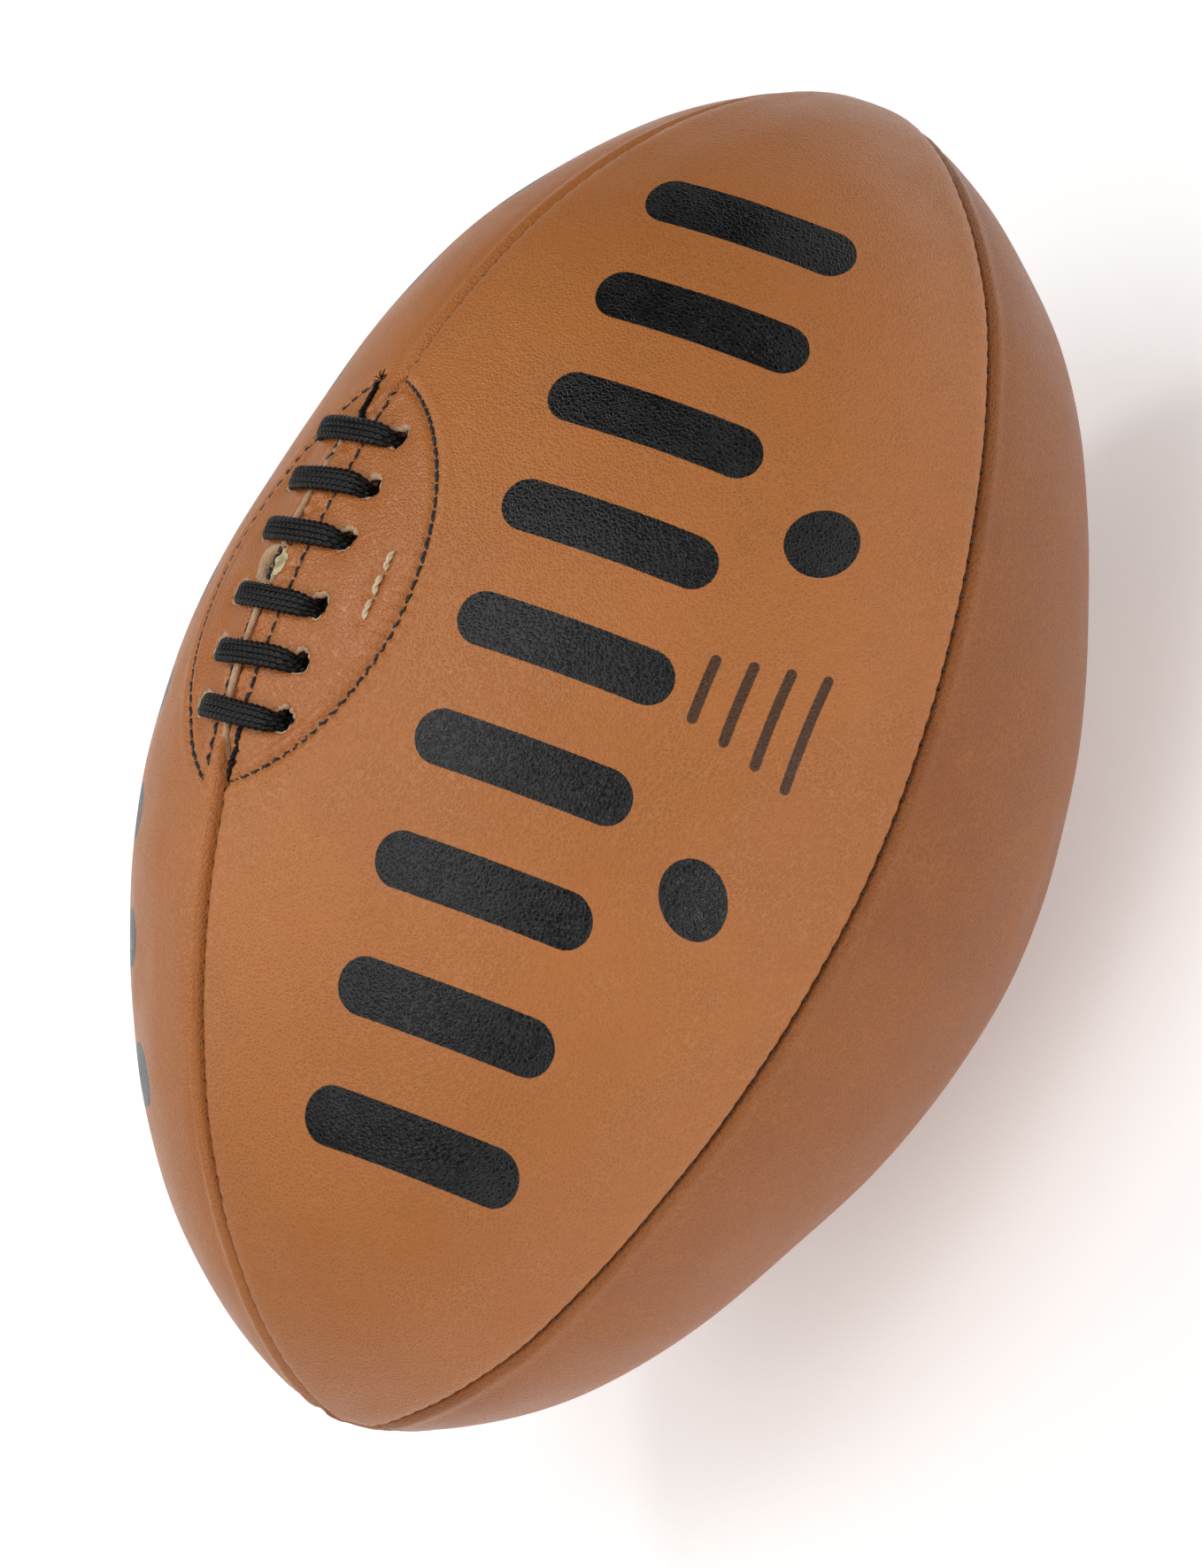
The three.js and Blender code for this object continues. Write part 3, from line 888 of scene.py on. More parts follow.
def make_seam_threads(thread):
    """Stitches in the long seams and in the short cross seam at each tip."""
    end = POINTED_RUN - 1.0 * MM
    tips = [float(run_at(OPENING_X - OPENING_HALF)), float(run_at(OPENING_X + OPENING_HALF))]
    spans = {
        "seam_thread_back": (0.0, -end, end),
        "seam_thread_bottom": (1.5 * math.pi, -end, end),
        "seam_thread_front": (math.pi, -end, end),
        "seam_thread_top_near": (TOP, -end, tips[0]),
        "seam_thread_top_far": (TOP, tips[1], end),
    }
    for node, (phi, low, high) in spans.items():
        builder = Builder()
        seam_stitches(builder, phi, low, high)
        builder.make(node.replace("thread", "stitches"), (thread,), (node,))
    for node, end_side in (("cross_seam_thread_near", -1), ("cross_seam_thread_far", 1)):
        builder = Builder()
        for i in range(-1, 1):
            across = (np.linspace(0.12, 0.88, 9) + i) * STITCH_PITCH
            middle = math.radians(45)
            lift = 0.35 * MM * np.sin(math.pi * np.linspace(0, 1, 9)) - SEAM_THREAD_DEPTH
            path = np.stack([
                end_side * (HALF_LENGTH + lift),
                across * math.cos(middle),
                across * math.sin(middle),
            ], -1)
            two_ply(builder, path, SEAM_THREAD_RADIUS, 1.0, i, sides=6)
        builder.make(node.replace("thread", "stitches"), (thread,), (node,))


# ---- lace


def lace_stations():
    """Stops of the whole lace: x, arc, lift, how far its width has turned, and half width."""
    rows = lace_rows()
    half = LACE_WIDTH / 2
    stops = []

    def inner(x, arc):
        stops.append((x, arc, LACE_INNER_LIFT, 1.0, half * 0.9))

    def plunge(x, arc, way, down):
        steps = [
            (-1.9 * MM * way, 0.9 * MM, 0.0, half * 0.92),
            (-0.6 * MM * way, -0.9 * MM, 0.1, half * 0.72),
            (0.3 * MM * way, -2.9 * MM, 0.5, half * 0.70),
        ]
        chosen = [(x, arc + a, lift, turn, wide) for a, lift, turn, wide in steps]
        stops.extend(chosen if down else reversed(chosen))

    def bar(start, finish):
        way = 1 if finish[1] > start[1] else -1
        plunge(*start, -way, False)
        for share, lift in ((0.17, 1.75), (0.34, 2.2), (0.5, 2.35), (0.66, 2.2), (0.83, 1.75)):
            x, arc = (a + share * (b - a) for a, b in zip(start, finish))
            stops.append((x, arc, lift * MM, 0.0, half))
        plunge(*finish, way, True)

    ends = [row_ends(x) for x in rows]
    first, last = ends[0][1], ends[-1][1]
    inner(first[0] - LACE_TAIL, first[1])
    inner(first[0] - LACE_TAIL / 2, first[1])
    for number in range(len(rows)):
        side = number % 2
        start, finish = ends[number][1 - side], ends[number][side]
        bar(start, finish)
        if number + 1 < len(rows):
            following = ends[number + 1][side]
            for share in (0.3, 0.7):
                inner(*(a + share * (b - a) for a, b in zip(finish, following)))
    inner(last[0] + LACE_TAIL / 2, last[1])
    inner(last[0] + LACE_TAIL, last[1])
    return np.array(stops)


def smooth_through(stops, step):
    """A smooth path through stations, resampled at an even step (Catmull-Rom)."""
    points = np.concatenate([[2 * stops[0] - stops[1]], stops, [2 * stops[-1] - stops[-2]]])
    pieces = []
    for i in range(len(stops) - 1):
        a, b, c, d = points[i : i + 4]
        t = np.linspace(0, 1, 24, endpoint=False)[:, None]
        pieces.append(0.5 * (2 * b + (c - a) * t + (2 * a - 5 * b + 4 * c - d) * t**2
                             + (3 * b - 3 * c + d - a) * t**3))
    fine = np.concatenate(pieces + [stops[-1:]])
    run = run_along(fine[:, :3])
    at = np.linspace(0, run[-1], int(run[-1] / step) + 1)
    return np.stack([np.interp(at, run, fine[:, k]) for k in range(fine.shape[1])], -1), at


def braid_section(run, half_width, half_height, sides=28):
    """Flat rounded sections with the relief of a flat braid on both faces."""
    angle = full_turn(sides)[None, :]
    run = run[:, None]
    across = np.sign(np.cos(angle)) * np.abs(np.cos(angle)) ** 0.62
    rise = np.sign(np.sin(angle)) * np.abs(np.sin(angle)) ** 0.75
    over = run / BRAID_PITCH
    strand = np.cos(2 * math.pi * (over + 0.5 * BRAID_COLUMNS * across))
    channel = np.cos(math.pi * BRAID_COLUMNS * (across + 1)) * 0.5 + 0.5
    edge = np.cos(2 * math.pi * over + 1.2) * np.abs(across) ** 4
    swell = 1 + 0.07 * strand - 0.10 * channel
    wide = half_width[:, None] * across * (1 + 0.05 * edge)
    high = half_height * rise * swell
    return np.stack([wide, high], -1)


def make_lace(material):
    """The whole flat lace, from one tail inside to the other, with its tied ends."""
    track, run = smooth_through(lace_stations(), LACE_STEP)
    x, arc, lift, turn, half = track.T
    sag = 0.25 * MM * np.sin(run / (7 * MM)) * (lift > 0)
    bare = outward(place(x + sag, arc, 0))
    smooth_base = place(x + sag, arc, body_relief(place(x, arc, 0)))
    path = smooth_base + bare * lift[:, None]
    along_x = np.broadcast_to(np.array([1.0, 0, 0]), path.shape)
    round_ball = np.cross(bare, along_x)
    angle = turn[:, None] * math.pi / 2
    side = np.cos(angle) * along_x + np.sin(angle) * round_ball
    builder = Builder()
    sweep(builder, path, side, braid_section(run, half, LACE_THICKNESS / 2))
    lace_ties(builder)
    builder.make("lace_braid", (material,), ("lace",))


def tuft(builder, x, arc, count, length, seed):
    """Frayed thread ends that stick out of a knot."""
    draw = np.random.default_rng(seed)
    share = np.linspace(0, 1, 9)
    for _ in range(count):
        way = draw.uniform(0, 2 * math.pi)
        reach = length * draw.uniform(0.45, 1.0)
        curl = draw.uniform(-0.8, 0.8)
        px = x + reach * share * np.cos(way + curl * share)
        pa = arc + reach * share * np.sin(way + curl * share)
        lift = draw.uniform(0.2, 1.2) * MM * share * (1.3 - share) - 0.25 * MM
        path = on_leather(px, pa, lift)
        radius = 0.17 * MM * (1 - 0.6 * share)
        sweep(builder, path, any_side(path), round_section(radius, 5))


def lace_ties(builder):
    """The thin cord ends: along the opening past each end row, with a knotted tuft."""
    rows = lace_rows()
    far_tip = OPENING_X + OPENING_HALF
    near_tip = OPENING_X - OPENING_HALF
    far = [
        (rows[0] + 0.5 * MM, -3.0 * MM, 1.0 * MM),
        (rows[0] + 3.5 * MM, -4.4 * MM, 0.5 * MM),
        (rows[0] + 6.5 * MM, -6.2 * MM, 0.2 * MM),
        (far_tip - 3.0 * MM, -7.4 * MM, 0.3 * MM),
        (far_tip - 0.3 * MM, -9.0 * MM, -0.6 * MM),
    ]
    near = [
        (rows[-1] - 1.0 * MM, 1.2 * MM, 0.6 * MM),
        (rows[-1] - 6.0 * MM, 1.6 * MM, -0.3 * MM),
        (near_tip + 3.0 * MM, 1.4 * MM, 0.1 * MM),
        (near_tip - 0.6 * MM, 1.8 * MM, -0.6 * MM),
    ]
    for stops in (far, near):
        track, run = smooth_through(np.array(stops), 0.4 * MM)
        path = on_leather(track[:, 0], track[:, 1], track[:, 2])
        two_ply(builder, path, TIE_RADIUS, run[-1] / (2.4 * MM), taper=0.7)
        tuft(builder, track[-1, 0], track[-1, 1], 22, 2.6 * MM, len(track))


# ---- twine, rims and valve

def make_twine(material):
    """The twine stitches that hold the tongue, and their run inside."""
    builder = Builder()
    holes = twine_holes()
    draw = np.random.default_rng(5)
    for first, second in zip(holes, holes[1:]):
        share = np.linspace(0, 1, 19)
        x = first + (second - first) * (0.05 + 0.90 * share)
        arc = TWINE_ARC + draw.normal(0, 0.12 * MM) + 0 * x
        lift = 0.9 * MM * np.sin(math.pi * share) ** 0.6 - 0.80 * MM
        path = place(x, arc, body_relief(place(x, arc, 0)) + lift)
        two_ply(builder, path, TWINE_RADIUS, 1.2, draw.uniform(0, 6), sides=9, taper=0.12)
    under = np.linspace(holes[0], holes[-1], 60)
    path = on_leather(under, TWINE_ARC, TWINE_INNER_LIFT)
    two_ply(builder, path, 0.6 * MM, 6, sides=6)
    builder.make("tongue_stitches", (material,), ("tongue_twine",))


def ring_around(builder, outline, lift, radius, seed, sides=8):
    """An uneven raw-edge ring that follows a closed outline on the leather."""
    draw = np.random.default_rng(seed)
    x, arc = outline
    turn = full_turn(len(x))
    uneven = sum(draw.normal(0, 0.10) * np.sin(k * turn + draw.uniform(0, 6)) for k in range(2, 11))
    size = radius * (1 + uneven)
    path = on_leather(x, arc, lift + 0.2 * radius * uneven)
    closed = np.concatenate([path[-1:], path, path[:1]])
    rise = outward(path)
    side = unit(np.cross(rise, unit(closed[2:] - closed[:-2])))
    section = round_section(size, sides) * np.array([1.0, 0.75])
    rings = path[:, None] + side[:, None] * section[..., :1] + rise[:, None] * section[..., 1:]
    builder.add(rings, band_faces(len(x), sides, closed=True))


def make_hole_rims(material):
    """Raw fibre edges of the punched holes and the valve's eye, each its own uneven ring."""
    builder = Builder()
    turn = full_turn(40)
    for number, (hole_x, hole_arc) in enumerate(lace_holes()):
        size = (HOLE_RADIUS - 0.10 * MM) * hole_shape(turn, number)
        outline = (hole_x + size * np.cos(turn), hole_arc + size * np.sin(turn))
        thick = (0.50 + 0.45 * np.maximum(np.cos(turn), 0) ** 2) * MM
        ring_around(builder, outline, -0.25 * MM - 0.6 * thick, thick, 40 + number)
    along = EYE_HALF_LENGTH * np.sign(np.cos(turn)) * np.abs(np.cos(turn)) ** 0.95
    across = EYE_HALF_WIDTH * np.sign(np.sin(turn)) * np.abs(np.sin(turn)) ** 1.15
    thick = (0.35 + 1.05 * np.maximum(0.3 - np.sin(turn), 0)) * MM
    lift = -0.3 * MM - 0.5 * MM * np.maximum(np.sin(turn), 0)
    ring_around(builder, (VALVE_X + along, VALVE_ARC + across), lift, thick, 71)
    builder.make("hole_rims", (material,))


def make_slit_edge(material):
    """The raw back edge of the opening, in two strips on either side of the valve's eye."""
    builder = Builder()
    near, far = lace_rows()[-1] - 7 * MM, lace_rows()[0] - 1 * MM
    strips = ((near, VALVE_X - SLIT_EDGE_BREAK), (VALVE_X + SLIT_EDGE_BREAK, far))
    for number, (low, high) in enumerate(strips):
        x = np.arange(low, high, 0.35 * MM)
        draw = np.random.default_rng(90 + number)
        wander = sum(draw.normal(0, 0.22) * np.sin(x * k / (9 * MM) + draw.uniform(0, 6))
                     for k in range(1, 9))
        arc = slit_arc(x) - 0.9 * MM + 0.22 * MM * wander
        path = on_leather(x, arc, -0.22 * MM + 0.14 * MM * wander)
        size = (0.80 + 0.20 * wander) * MM
        sweep(builder, path, any_side(path), round_section(size, 8) * np.array([1.0, 0.8]))
    builder.make("slit_edge", (material,))


def make_valve(rubber, shade_rubber):
    """The folded rubber mouth of the valve: cream lips in its eye, and deep faces in front in
    near-black rubber, which is painted shade.
    """
    builder = Builder()
    rings, sides = 30, 72
    share = np.linspace(0.0, 1.0, rings)[1:, None]
    turn = full_turn(sides)[None, :]
    along = share * np.cos(turn)
    across = share * np.sin(turn)
    x = VALVE_X + VALVE_FILL * EYE_HALF_LENGTH * along
    arc = VALVE_ARC + VALVE_FILL * EYE_HALF_WIDTH * across
    wander = np.abs(across + 0.08 - 0.34 * np.sin(2.9 * along))
    lift = -0.4 * MM - 0.8 * MM * share**4 - 3.2 * MM * ease(wander, 0.22, 0.40)
    lift = lift - 0.7 * MM * bell(wander, 0.05)
    lift = lift + 0.34 * MM * np.sin(8.0 * along + 2.5 * across) * (1 - share**4)
    verts = on_leather(x, arc, lift).reshape(-1, 3)
    bottom = on_leather(x[-1], arc[-1], VALVE_BOTTOM)
    middle = on_leather(VALVE_X, VALVE_ARC, VALVE_MIDDLE).reshape(1, 3)
    rows = np.concatenate([verts, bottom, middle])
    centre = len(rows) - 1
    faces = band_faces(rings, sides)
    faces += [(centre, (j + 1) % sides, j) for j in range(sides)]
    faces.append(last_cap(rings, sides))
    depth = np.append(lift.ravel(), [VALVE_BOTTOM] * sides + [VALVE_MIDDLE])
    # Deep faces take the second slot: near-black rubber, painted shade in the recess.
    deep = [int(depth[list(face)].mean() < VALVE_SHADE_BELOW) for face in faces]
    builder.add(rows, faces, deep)
    builder.make("valve_mouth", (rubber, shade_rubber))


# ---- materials

class Value:
    """What a node gives, with plain arithmetic that adds nodes."""

    def __init__(self, nodes, socket):
        self.nodes = nodes
        self.socket = socket

    def __add__(self, other):
        return self.nodes.math("ADD", self, other)

    def __sub__(self, other):
        return self.nodes.math("SUBTRACT", self, other)

    def __rsub__(self, other):
        return self.nodes.math("SUBTRACT", other, self)

    def __mul__(self, other):
        return self.nodes.math("MULTIPLY", self, other)

    def __truediv__(self, other):
        return self.nodes.math("DIVIDE", self, other)

    def __pow__(self, other):
        return self.nodes.math("POWER", self, other)

    def __abs__(self):
        return self.nodes.math("ABSOLUTE", self)

    def at_least(self, low):
        return self.nodes.math("MAXIMUM", self, low)

    def at_most(self, high):
        return self.nodes.math("MINIMUM", self, high)


class Nodes:
    """A short way to write a node material: each method adds a node and returns its output."""

    def __init__(self, name, **values):
        self.material = bpy.data.materials.new(name)
        self.material.use_nodes = True
        self.tree = self.material.node_tree
        self.shader = self.tree.nodes["Principled BSDF"]
        for key, value in values.items():
            self.shader.inputs[key.replace("_", " ")].default_value = value

    def node(self, kind, inputs, **settings):
        node = self.tree.nodes.new(kind)
        for key, value in settings.items():
            setattr(node, key, value)
        for key, value in inputs.items():
            if isinstance(value, Value):
                self.tree.links.new(value.socket, node.inputs[key])
            else:
                node.inputs[key].default_value = value
        return node

    def add(self, kind, inputs, out=0, **settings):
        return Value(self, self.node(kind, inputs, **settings).outputs[out])

    def place(self):
        return self.add("ShaderNodeTexCoord", {}, "Object")

    def split(self, vector):
        """The X, Y and Z numbers of a vector."""
        node = self.node("ShaderNodeSeparateXYZ", {0: vector})
        return [Value(self, socket) for socket in node.outputs]

    def surface(self):
        """The two surface coordinates, in metres."""
        return self.split(self.add("ShaderNodeUVMap", {}, uv_map="surface"))[:2]

    def noise(self, vector, scale, detail=2.0, roughness=0.5, distortion=0.0, out=0):
        values = {"Vector": vector, "Scale": scale, "Detail": detail,
                  "Roughness": roughness, "Distortion": distortion}
        return self.add("ShaderNodeTexNoise", values, out)

    def creases(self, vector, scale):
        """Distance to the borders of uneven cells."""
        values = {"Vector": vector, "Scale": scale, "Randomness": 1.0}
        return self.add("ShaderNodeTexVoronoi", values, feature="DISTANCE_TO_EDGE")

    def warped(self, vector, scale, reach):
        """A vector shifted unevenly by about the given reach."""
        moved = {0: self.noise(vector, scale, 1.0, out=1), 1: (reach, reach, reach), 2: vector}
        return self.add("ShaderNodeVectorMath", moved, operation="MULTIPLY_ADD")

    def math(self, operation, *values):
        return self.add("ShaderNodeMath", dict(enumerate(values)), operation=operation)

    def length(self, a, b):
        return self.math("SQRT", a * a + b * b)

    def ramp(self, value, low, high, first=0.0, last=1.0):
        """A smooth step from first at low to last at high."""
        values = {"Value": value, "From Min": low, "From Max": high,
                  "To Min": first, "To Max": last}
        return self.add("ShaderNodeMapRange", values, interpolation_type="SMOOTHSTEP")

    def mix(self, share, first, second):
        """Two colours mixed by a share."""
        return self.add("ShaderNodeMix", {0: share, 6: first, 7: second}, 2, data_type="RGBA")

    def bump(self, height, distance, strength=1.0, **normal):
        values = {"Height": height, "Distance": distance, "Strength": strength, **normal}
        return self.add("ShaderNodeBump", values)

    def finish(self, tone, **others):
        """Links the colour and the other shader inputs, and returns the material."""
        for key, value in {"Base_Color": tone, **others}.items():
            self.tree.links.new(value.socket, self.shader.inputs[key.replace("_", " ")])
        return self.material


def colour(red, green, blue):
    """Linear colour from 8-bit sRGB values."""
    def linear(value):
        value /= 255
        return value / 12.92 if value <= 0.04045 else ((value + 0.055) / 1.055) ** 2.4

    return (linear(red), linear(green), linear(blue), 1.0)


def bar_gap(nodes, across, along, half_length, half_width):
    """Signed distance to a bar with round ends."""
    beyond = (abs(along) - half_length).at_least(0.0)
    return nodes.length(across, beyond) - half_width


def print_gap(nodes, u, v):
    """Signed distance to the plain printed bars and dots; u and v are in millimetres."""
    step = (u - BAR_FIRST_X) / BAR_PITCH
    index = nodes.math("ROUND", step).at_least(0.0).at_most(BAR_COUNT - 1.0)
    narrowing = 1.0 - (abs(u) / (HALF_LENGTH / MM)) ** END_POWER
    middle = narrowing.at_least(0.0) ** BELLY_POWER * BAR_MIDDLE_ARC + u * BAR_LEAN
    gap = bar_gap(nodes, (step - index) * BAR_PITCH, v - middle,
                  BAR_HALF_LENGTH - BAR_HALF_WIDTH, BAR_HALF_WIDTH)
    for dot_u, dot_v in DOTS:
        gap = gap.at_most(nodes.length(u - dot_u, v - dot_v) - DOT_RADIUS)
    return gap


def small_bars_gap(nodes, u, v):
    """Signed distance to the short thin printed bars near the dots."""
    step = (v - SMALL_BARS_ARC) / SMALL_BARS_PITCH
    index = nodes.math("ROUND", step).at_least(-1.0).at_most(2.0)
    reach = index * SMALL_BAR_GROWTH + SMALL_BAR_HALF
    across = (step - index) * SMALL_BARS_PITCH
    return bar_gap(nodes, across, u - SMALL_BARS_X, reach, SMALL_BAR_THICK)


def lacing_mask(nodes, u, v):
    """1 inside the sewn outlines of the facings, 0 elsewhere; v is positive on both panels."""
    centre, radius, _ = facing_circle(1)
    away = nodes.length(u - OPENING_X / MM, v - centre / MM)
    return nodes.ramp(away, radius / MM - 1.5, radius / MM + 0.5, 1.0, 0.0)


# TOP_TAN is the leather of the upper panels; the lower panels' tan is darker, which is painted
# shade.
TOP_TAN = (colour(178, 107, 51), colour(186, 113, 56))
SHADED_BOTTOM_TAN = (colour(145, 84, 41), colour(152, 90, 46))
PATCH_TAN = colour(155, 90, 39)
NEAR_END_TAN = colour(166, 101, 57)
LACED_TAN = colour(168, 97, 48)
CREASE_TAN = colour(206, 142, 84)
SPECK_TAN = colour(136, 78, 38)
INK = colour(8, 8, 9)
# Pale grey for the ink's creases: painted glints on its grain.
INK_PAINTED_GLINT = colour(66, 66, 64)


def leather_material(printed):
    """Tan leather with fine cells, pale creases and dark specks; the printed one has the ink, whose
    creases carry painted glints. The plain one, on the lower panels, takes a darker tan that is
    painted shade.
    """
    name = "leather_printed" if printed else "leather_plain_shaded"
    nodes = Nodes(name, Specular_IOR_Level=0.35 if printed else 0.26)
    place = nodes.place()
    wide = nodes.noise(place, 14, 3, 0.55)
    patch = nodes.noise(place, 75, 4, 0.6)
    fleck = nodes.noise(place, 1300, 3, 0.6)
    wobble = nodes.noise(place, 1000, 2, 0.5, 0.6)
    pores = nodes.noise(place, 3600, 2, 0.5)
    crease = nodes.creases(nodes.warped(place, 700, 0.9 * MM), 1100)
    near_end = nodes.ramp(nodes.split(place)[0], -0.05, -0.150, 0.0, 0.4)
    faint = nodes.ramp(patch, 0.35, 0.65, 0.10, 0.36 if printed else 0.20)
    # The crease mask lightens the tan's creases, which is their own colour, and the ink's creases,
    # which are painted glints.
    pale = nodes.ramp(crease, 0.02, 0.16, 1.0, 0.0) * faint
    # The lower panels' plain leather takes the darker tan: painted shade.
    tan = nodes.mix(nodes.ramp(wide, 0.38, 0.62), *(TOP_TAN if printed else SHADED_BOTTOM_TAN))
    tan = nodes.mix(nodes.ramp(patch, 0.30, 0.72, 0.0, 0.35), tan, PATCH_TAN)
    tan = nodes.mix(near_end, tan, NEAR_END_TAN)
    tan = nodes.mix(pale, tan, CREASE_TAN)
    tan = nodes.mix(nodes.ramp(fleck, 0.54, 0.74, 0.0, 0.22), tan, SPECK_TAN)
    rough = nodes.ramp(patch, 0.3, 0.7, 0.34, 0.43)
    if printed:
        u, v = (part * (1 / MM) for part in nodes.surface())
        laced = lacing_mask(nodes, u, v)
        ink = nodes.ramp(wobble * 0.25 + print_gap(nodes, u, v), 0.02, 0.22, 1.0, 0.0)
        faded = nodes.ramp(wobble * 0.25 + small_bars_gap(nodes, u, v), 0.0, 0.3, 0.85, 0.0)
        # Pale grey in the ink's creases: painted glints.
        black = nodes.mix(pale, INK, INK_PAINTED_GLINT)
        tan = nodes.mix(laced * 0.30, tan, LACED_TAN)
        tan = nodes.mix(ink.at_least(faded), tan, black)
        rough = rough - laced * 0.09 - ink * 0.06
    grain = pores * 0.3 + wobble * 0.7 + nodes.ramp(crease, 0.0, 0.32) * 0.8
    broad = nodes.bump(patch, 0.25 * MM, 0.5)
    return nodes.finish(tan, Roughness=rough, Normal=nodes.bump(grain, 0.11 * MM, Normal=broad))


def raw_leather_material():
    """The fibrous flesh side and the cut edges."""
    nodes = Nodes("leather_raw", Sheen_Weight=0.3, Sheen_Roughness=0.6)
    place = nodes.place()
    fibre = nodes.noise(place, 1400, 4, 0.7, 1.2)
    blotch = nodes.noise(place, 320, 3, 0.6)
    base = nodes.mix(nodes.ramp(blotch, 0.35, 0.65), colour(160, 112, 72), colour(192, 146, 104))
    tone = nodes.mix(nodes.ramp(fibre, 0.35, 0.75), base, colour(214, 178, 136))
    rough = nodes.ramp(fibre, 0.3, 0.7, 0.75, 0.95)
    return nodes.finish(tone, Roughness=rough, Normal=nodes.bump(fibre, 0.35 * MM))


def lace_material():
    """Waxed black braid: slanting strands in columns along the lace, their crests painted lighter
    grey as glints.
    """
    nodes = Nodes("lace_waxed_black", Specular_IOR_Level=0.24)
    place = nodes.place()
    yarn = nodes.noise(place, 2600, 3, 0.6, 1.0)
    wax = nodes.noise(place, 260, 3, 0.6)
    run, across = nodes.surface()
    column = across * (BRAID_COLUMNS / 2) + BRAID_COLUMNS / 2
    edge = abs(nodes.math("FRACT", column) - 0.5) * 2.0
    turn = nodes.math("FLOOR", column) * math.pi
    phase = edge * 1.5 + run * (2 * math.pi / BRAID_PITCH) + turn
    strand = nodes.math("SINE", phase) * 0.5 + 0.5 - edge**4.0 * 0.8
    height = yarn * 0.35 + strand
    # Lighter grey on the strands' crests, stronger where the wax noise is high: painted glints.
    tone = nodes.ramp(height, 0.5, 1.1) * nodes.ramp(wax, 0.35, 0.65, 0.3)
    tone = nodes.mix(tone, colour(3, 3, 3), colour(34, 34, 33))
    rough = nodes.ramp(wax, 0.35, 0.65, 0.34, 0.52)
    return nodes.finish(tone, Roughness=rough, Normal=nodes.bump(height, 0.20 * MM))


def thread_material():
    """Waxed black sewing thread."""
    nodes = Nodes("thread_black", Sheen_Weight=0.15, Sheen_Roughness=0.4)
    yarn = nodes.noise(nodes.place(), 3200, 3, 0.6, 1.0)
    tone = nodes.mix(nodes.ramp(yarn, 0.4, 0.75), colour(20, 17, 16), colour(74, 60, 52))
    rough = nodes.ramp(yarn, 0.3, 0.7, 0.45, 0.7)
    return nodes.finish(tone, Roughness=rough, Normal=nodes.bump(yarn, 0.08 * MM, 0.8))


def twine_material():
    """Soiled cream twine."""
    nodes = Nodes("twine_cream", Sheen_Weight=0.2, Sheen_Roughness=0.5)
    place = nodes.place()
    yarn = nodes.noise(place, 2600, 4, 0.65, 1.4)
    soil = nodes.noise(place, 420, 2, 0.5)
    base = nodes.mix(nodes.ramp(yarn, 0.3, 0.7), colour(196, 170, 128), colour(236, 220, 186))
    tone = nodes.mix(nodes.ramp(soil, 0.5, 0.8, 0.0, 0.5), base, colour(150, 116, 80))
    rough = nodes.ramp(yarn, 0.3, 0.7, 0.65, 0.9)
    return nodes.finish(tone, Roughness=rough, Normal=nodes.bump(yarn, 0.12 * MM, 0.9))


def canvas_material():
    """Plain woven lining."""
    nodes = Nodes("lining_canvas")
    place = nodes.place()
    pitch = 2 * math.pi / (0.9 * MM)
    warp, weft = (nodes.math("SINE", part * pitch) for part in nodes.split(place)[:2])
    slub = nodes.noise(place, 700, 3, 0.6)
    tone = nodes.mix(nodes.ramp(slub, 0.3, 0.7), colour(205, 192, 165), colour(226, 216, 192))
    rough = nodes.ramp(slub, 0.3, 0.7, 0.8, 0.95)
    return nodes.finish(tone, Roughness=rough, Normal=nodes.bump(warp * weft, 0.12 * MM, 0.8))


def rubber_material(name, dark, light, gloss):
    """Dusty rubber with small pits, smoother with more gloss."""
    nodes = Nodes(name, Coat_Weight=0.25 * gloss, Coat_Roughness=0.2)
    place = nodes.place()
    dust = nodes.noise(place, 260, 4, 0.6)
    pits = nodes.noise(place, 1500, 2, 0.5)
    tone = nodes.mix(nodes.ramp(dust, 0.35, 0.7), dark, light)
    rough = nodes.ramp(dust, 0.3, 0.7, 0.55 - 0.25 * gloss, 0.75 - 0.3 * gloss)
    return nodes.finish(tone, Roughness=rough, Normal=nodes.bump(pits, 0.05 * MM, 0.6))


def floor_material():
    """Plain white floor with a little light of its own."""
    nodes = Nodes("studio_floor", Roughness=0.8, Emission_Color=(1, 1, 1, 1),
                  Emission_Strength=0.37)
    faint = nodes.noise(nodes.place(), 3, 2, 0.5)
    return nodes.finish(nodes.mix(faint, (0.93, 0.93, 0.93, 1), (0.95, 0.95, 0.95, 1)))


# ---- studio and camera

CAMERA_AZIMUTH = -11.85
CAMERA_ELEVATION = 36.56
CAMERA_ROLL = 61.18
CAMERA_DISTANCE = 1.531
CAMERA_LENS = 169.9
SHIFT_X = -0.0095
SHIFT_Y = -0.019
WORLD_STRENGTH = 0.02
FLOOR_HALF = 6.0

# Name, direction along the picture's right, up and viewer axes, distance, size and power.
LIGHTS = (
    ("overhead", (-0.70, 0.42, 0.55), 1.5, (1.3, 1.3), 1.8),
    ("upper_left", (-0.57, 0.33, 0.75), 1.6, (1.0, 1.0), 7.2),
    ("lower_left", (-0.57, -0.33, 0.75), 1.6, (1.0, 1.0), 6.6),
    ("left", (-1.0, 0.05, -0.15), 1.5, (0.9, 1.6), 5.4),
    ("far_left", (-0.92, 0.38, 0.0), 1.6, (1.0, 1.0), 2.2),
    ("front", (0.0, 0.45, 0.90), 1.6, (1.1, 1.1), 4.4),
    ("glint", (0.50, -0.22, 0.84), 1.7, (0.30, 0.30), 4.0),
    ("left_glint", (-0.82, 0.57, 0.11), 1.6, (0.22, 0.22), 3.2),
)


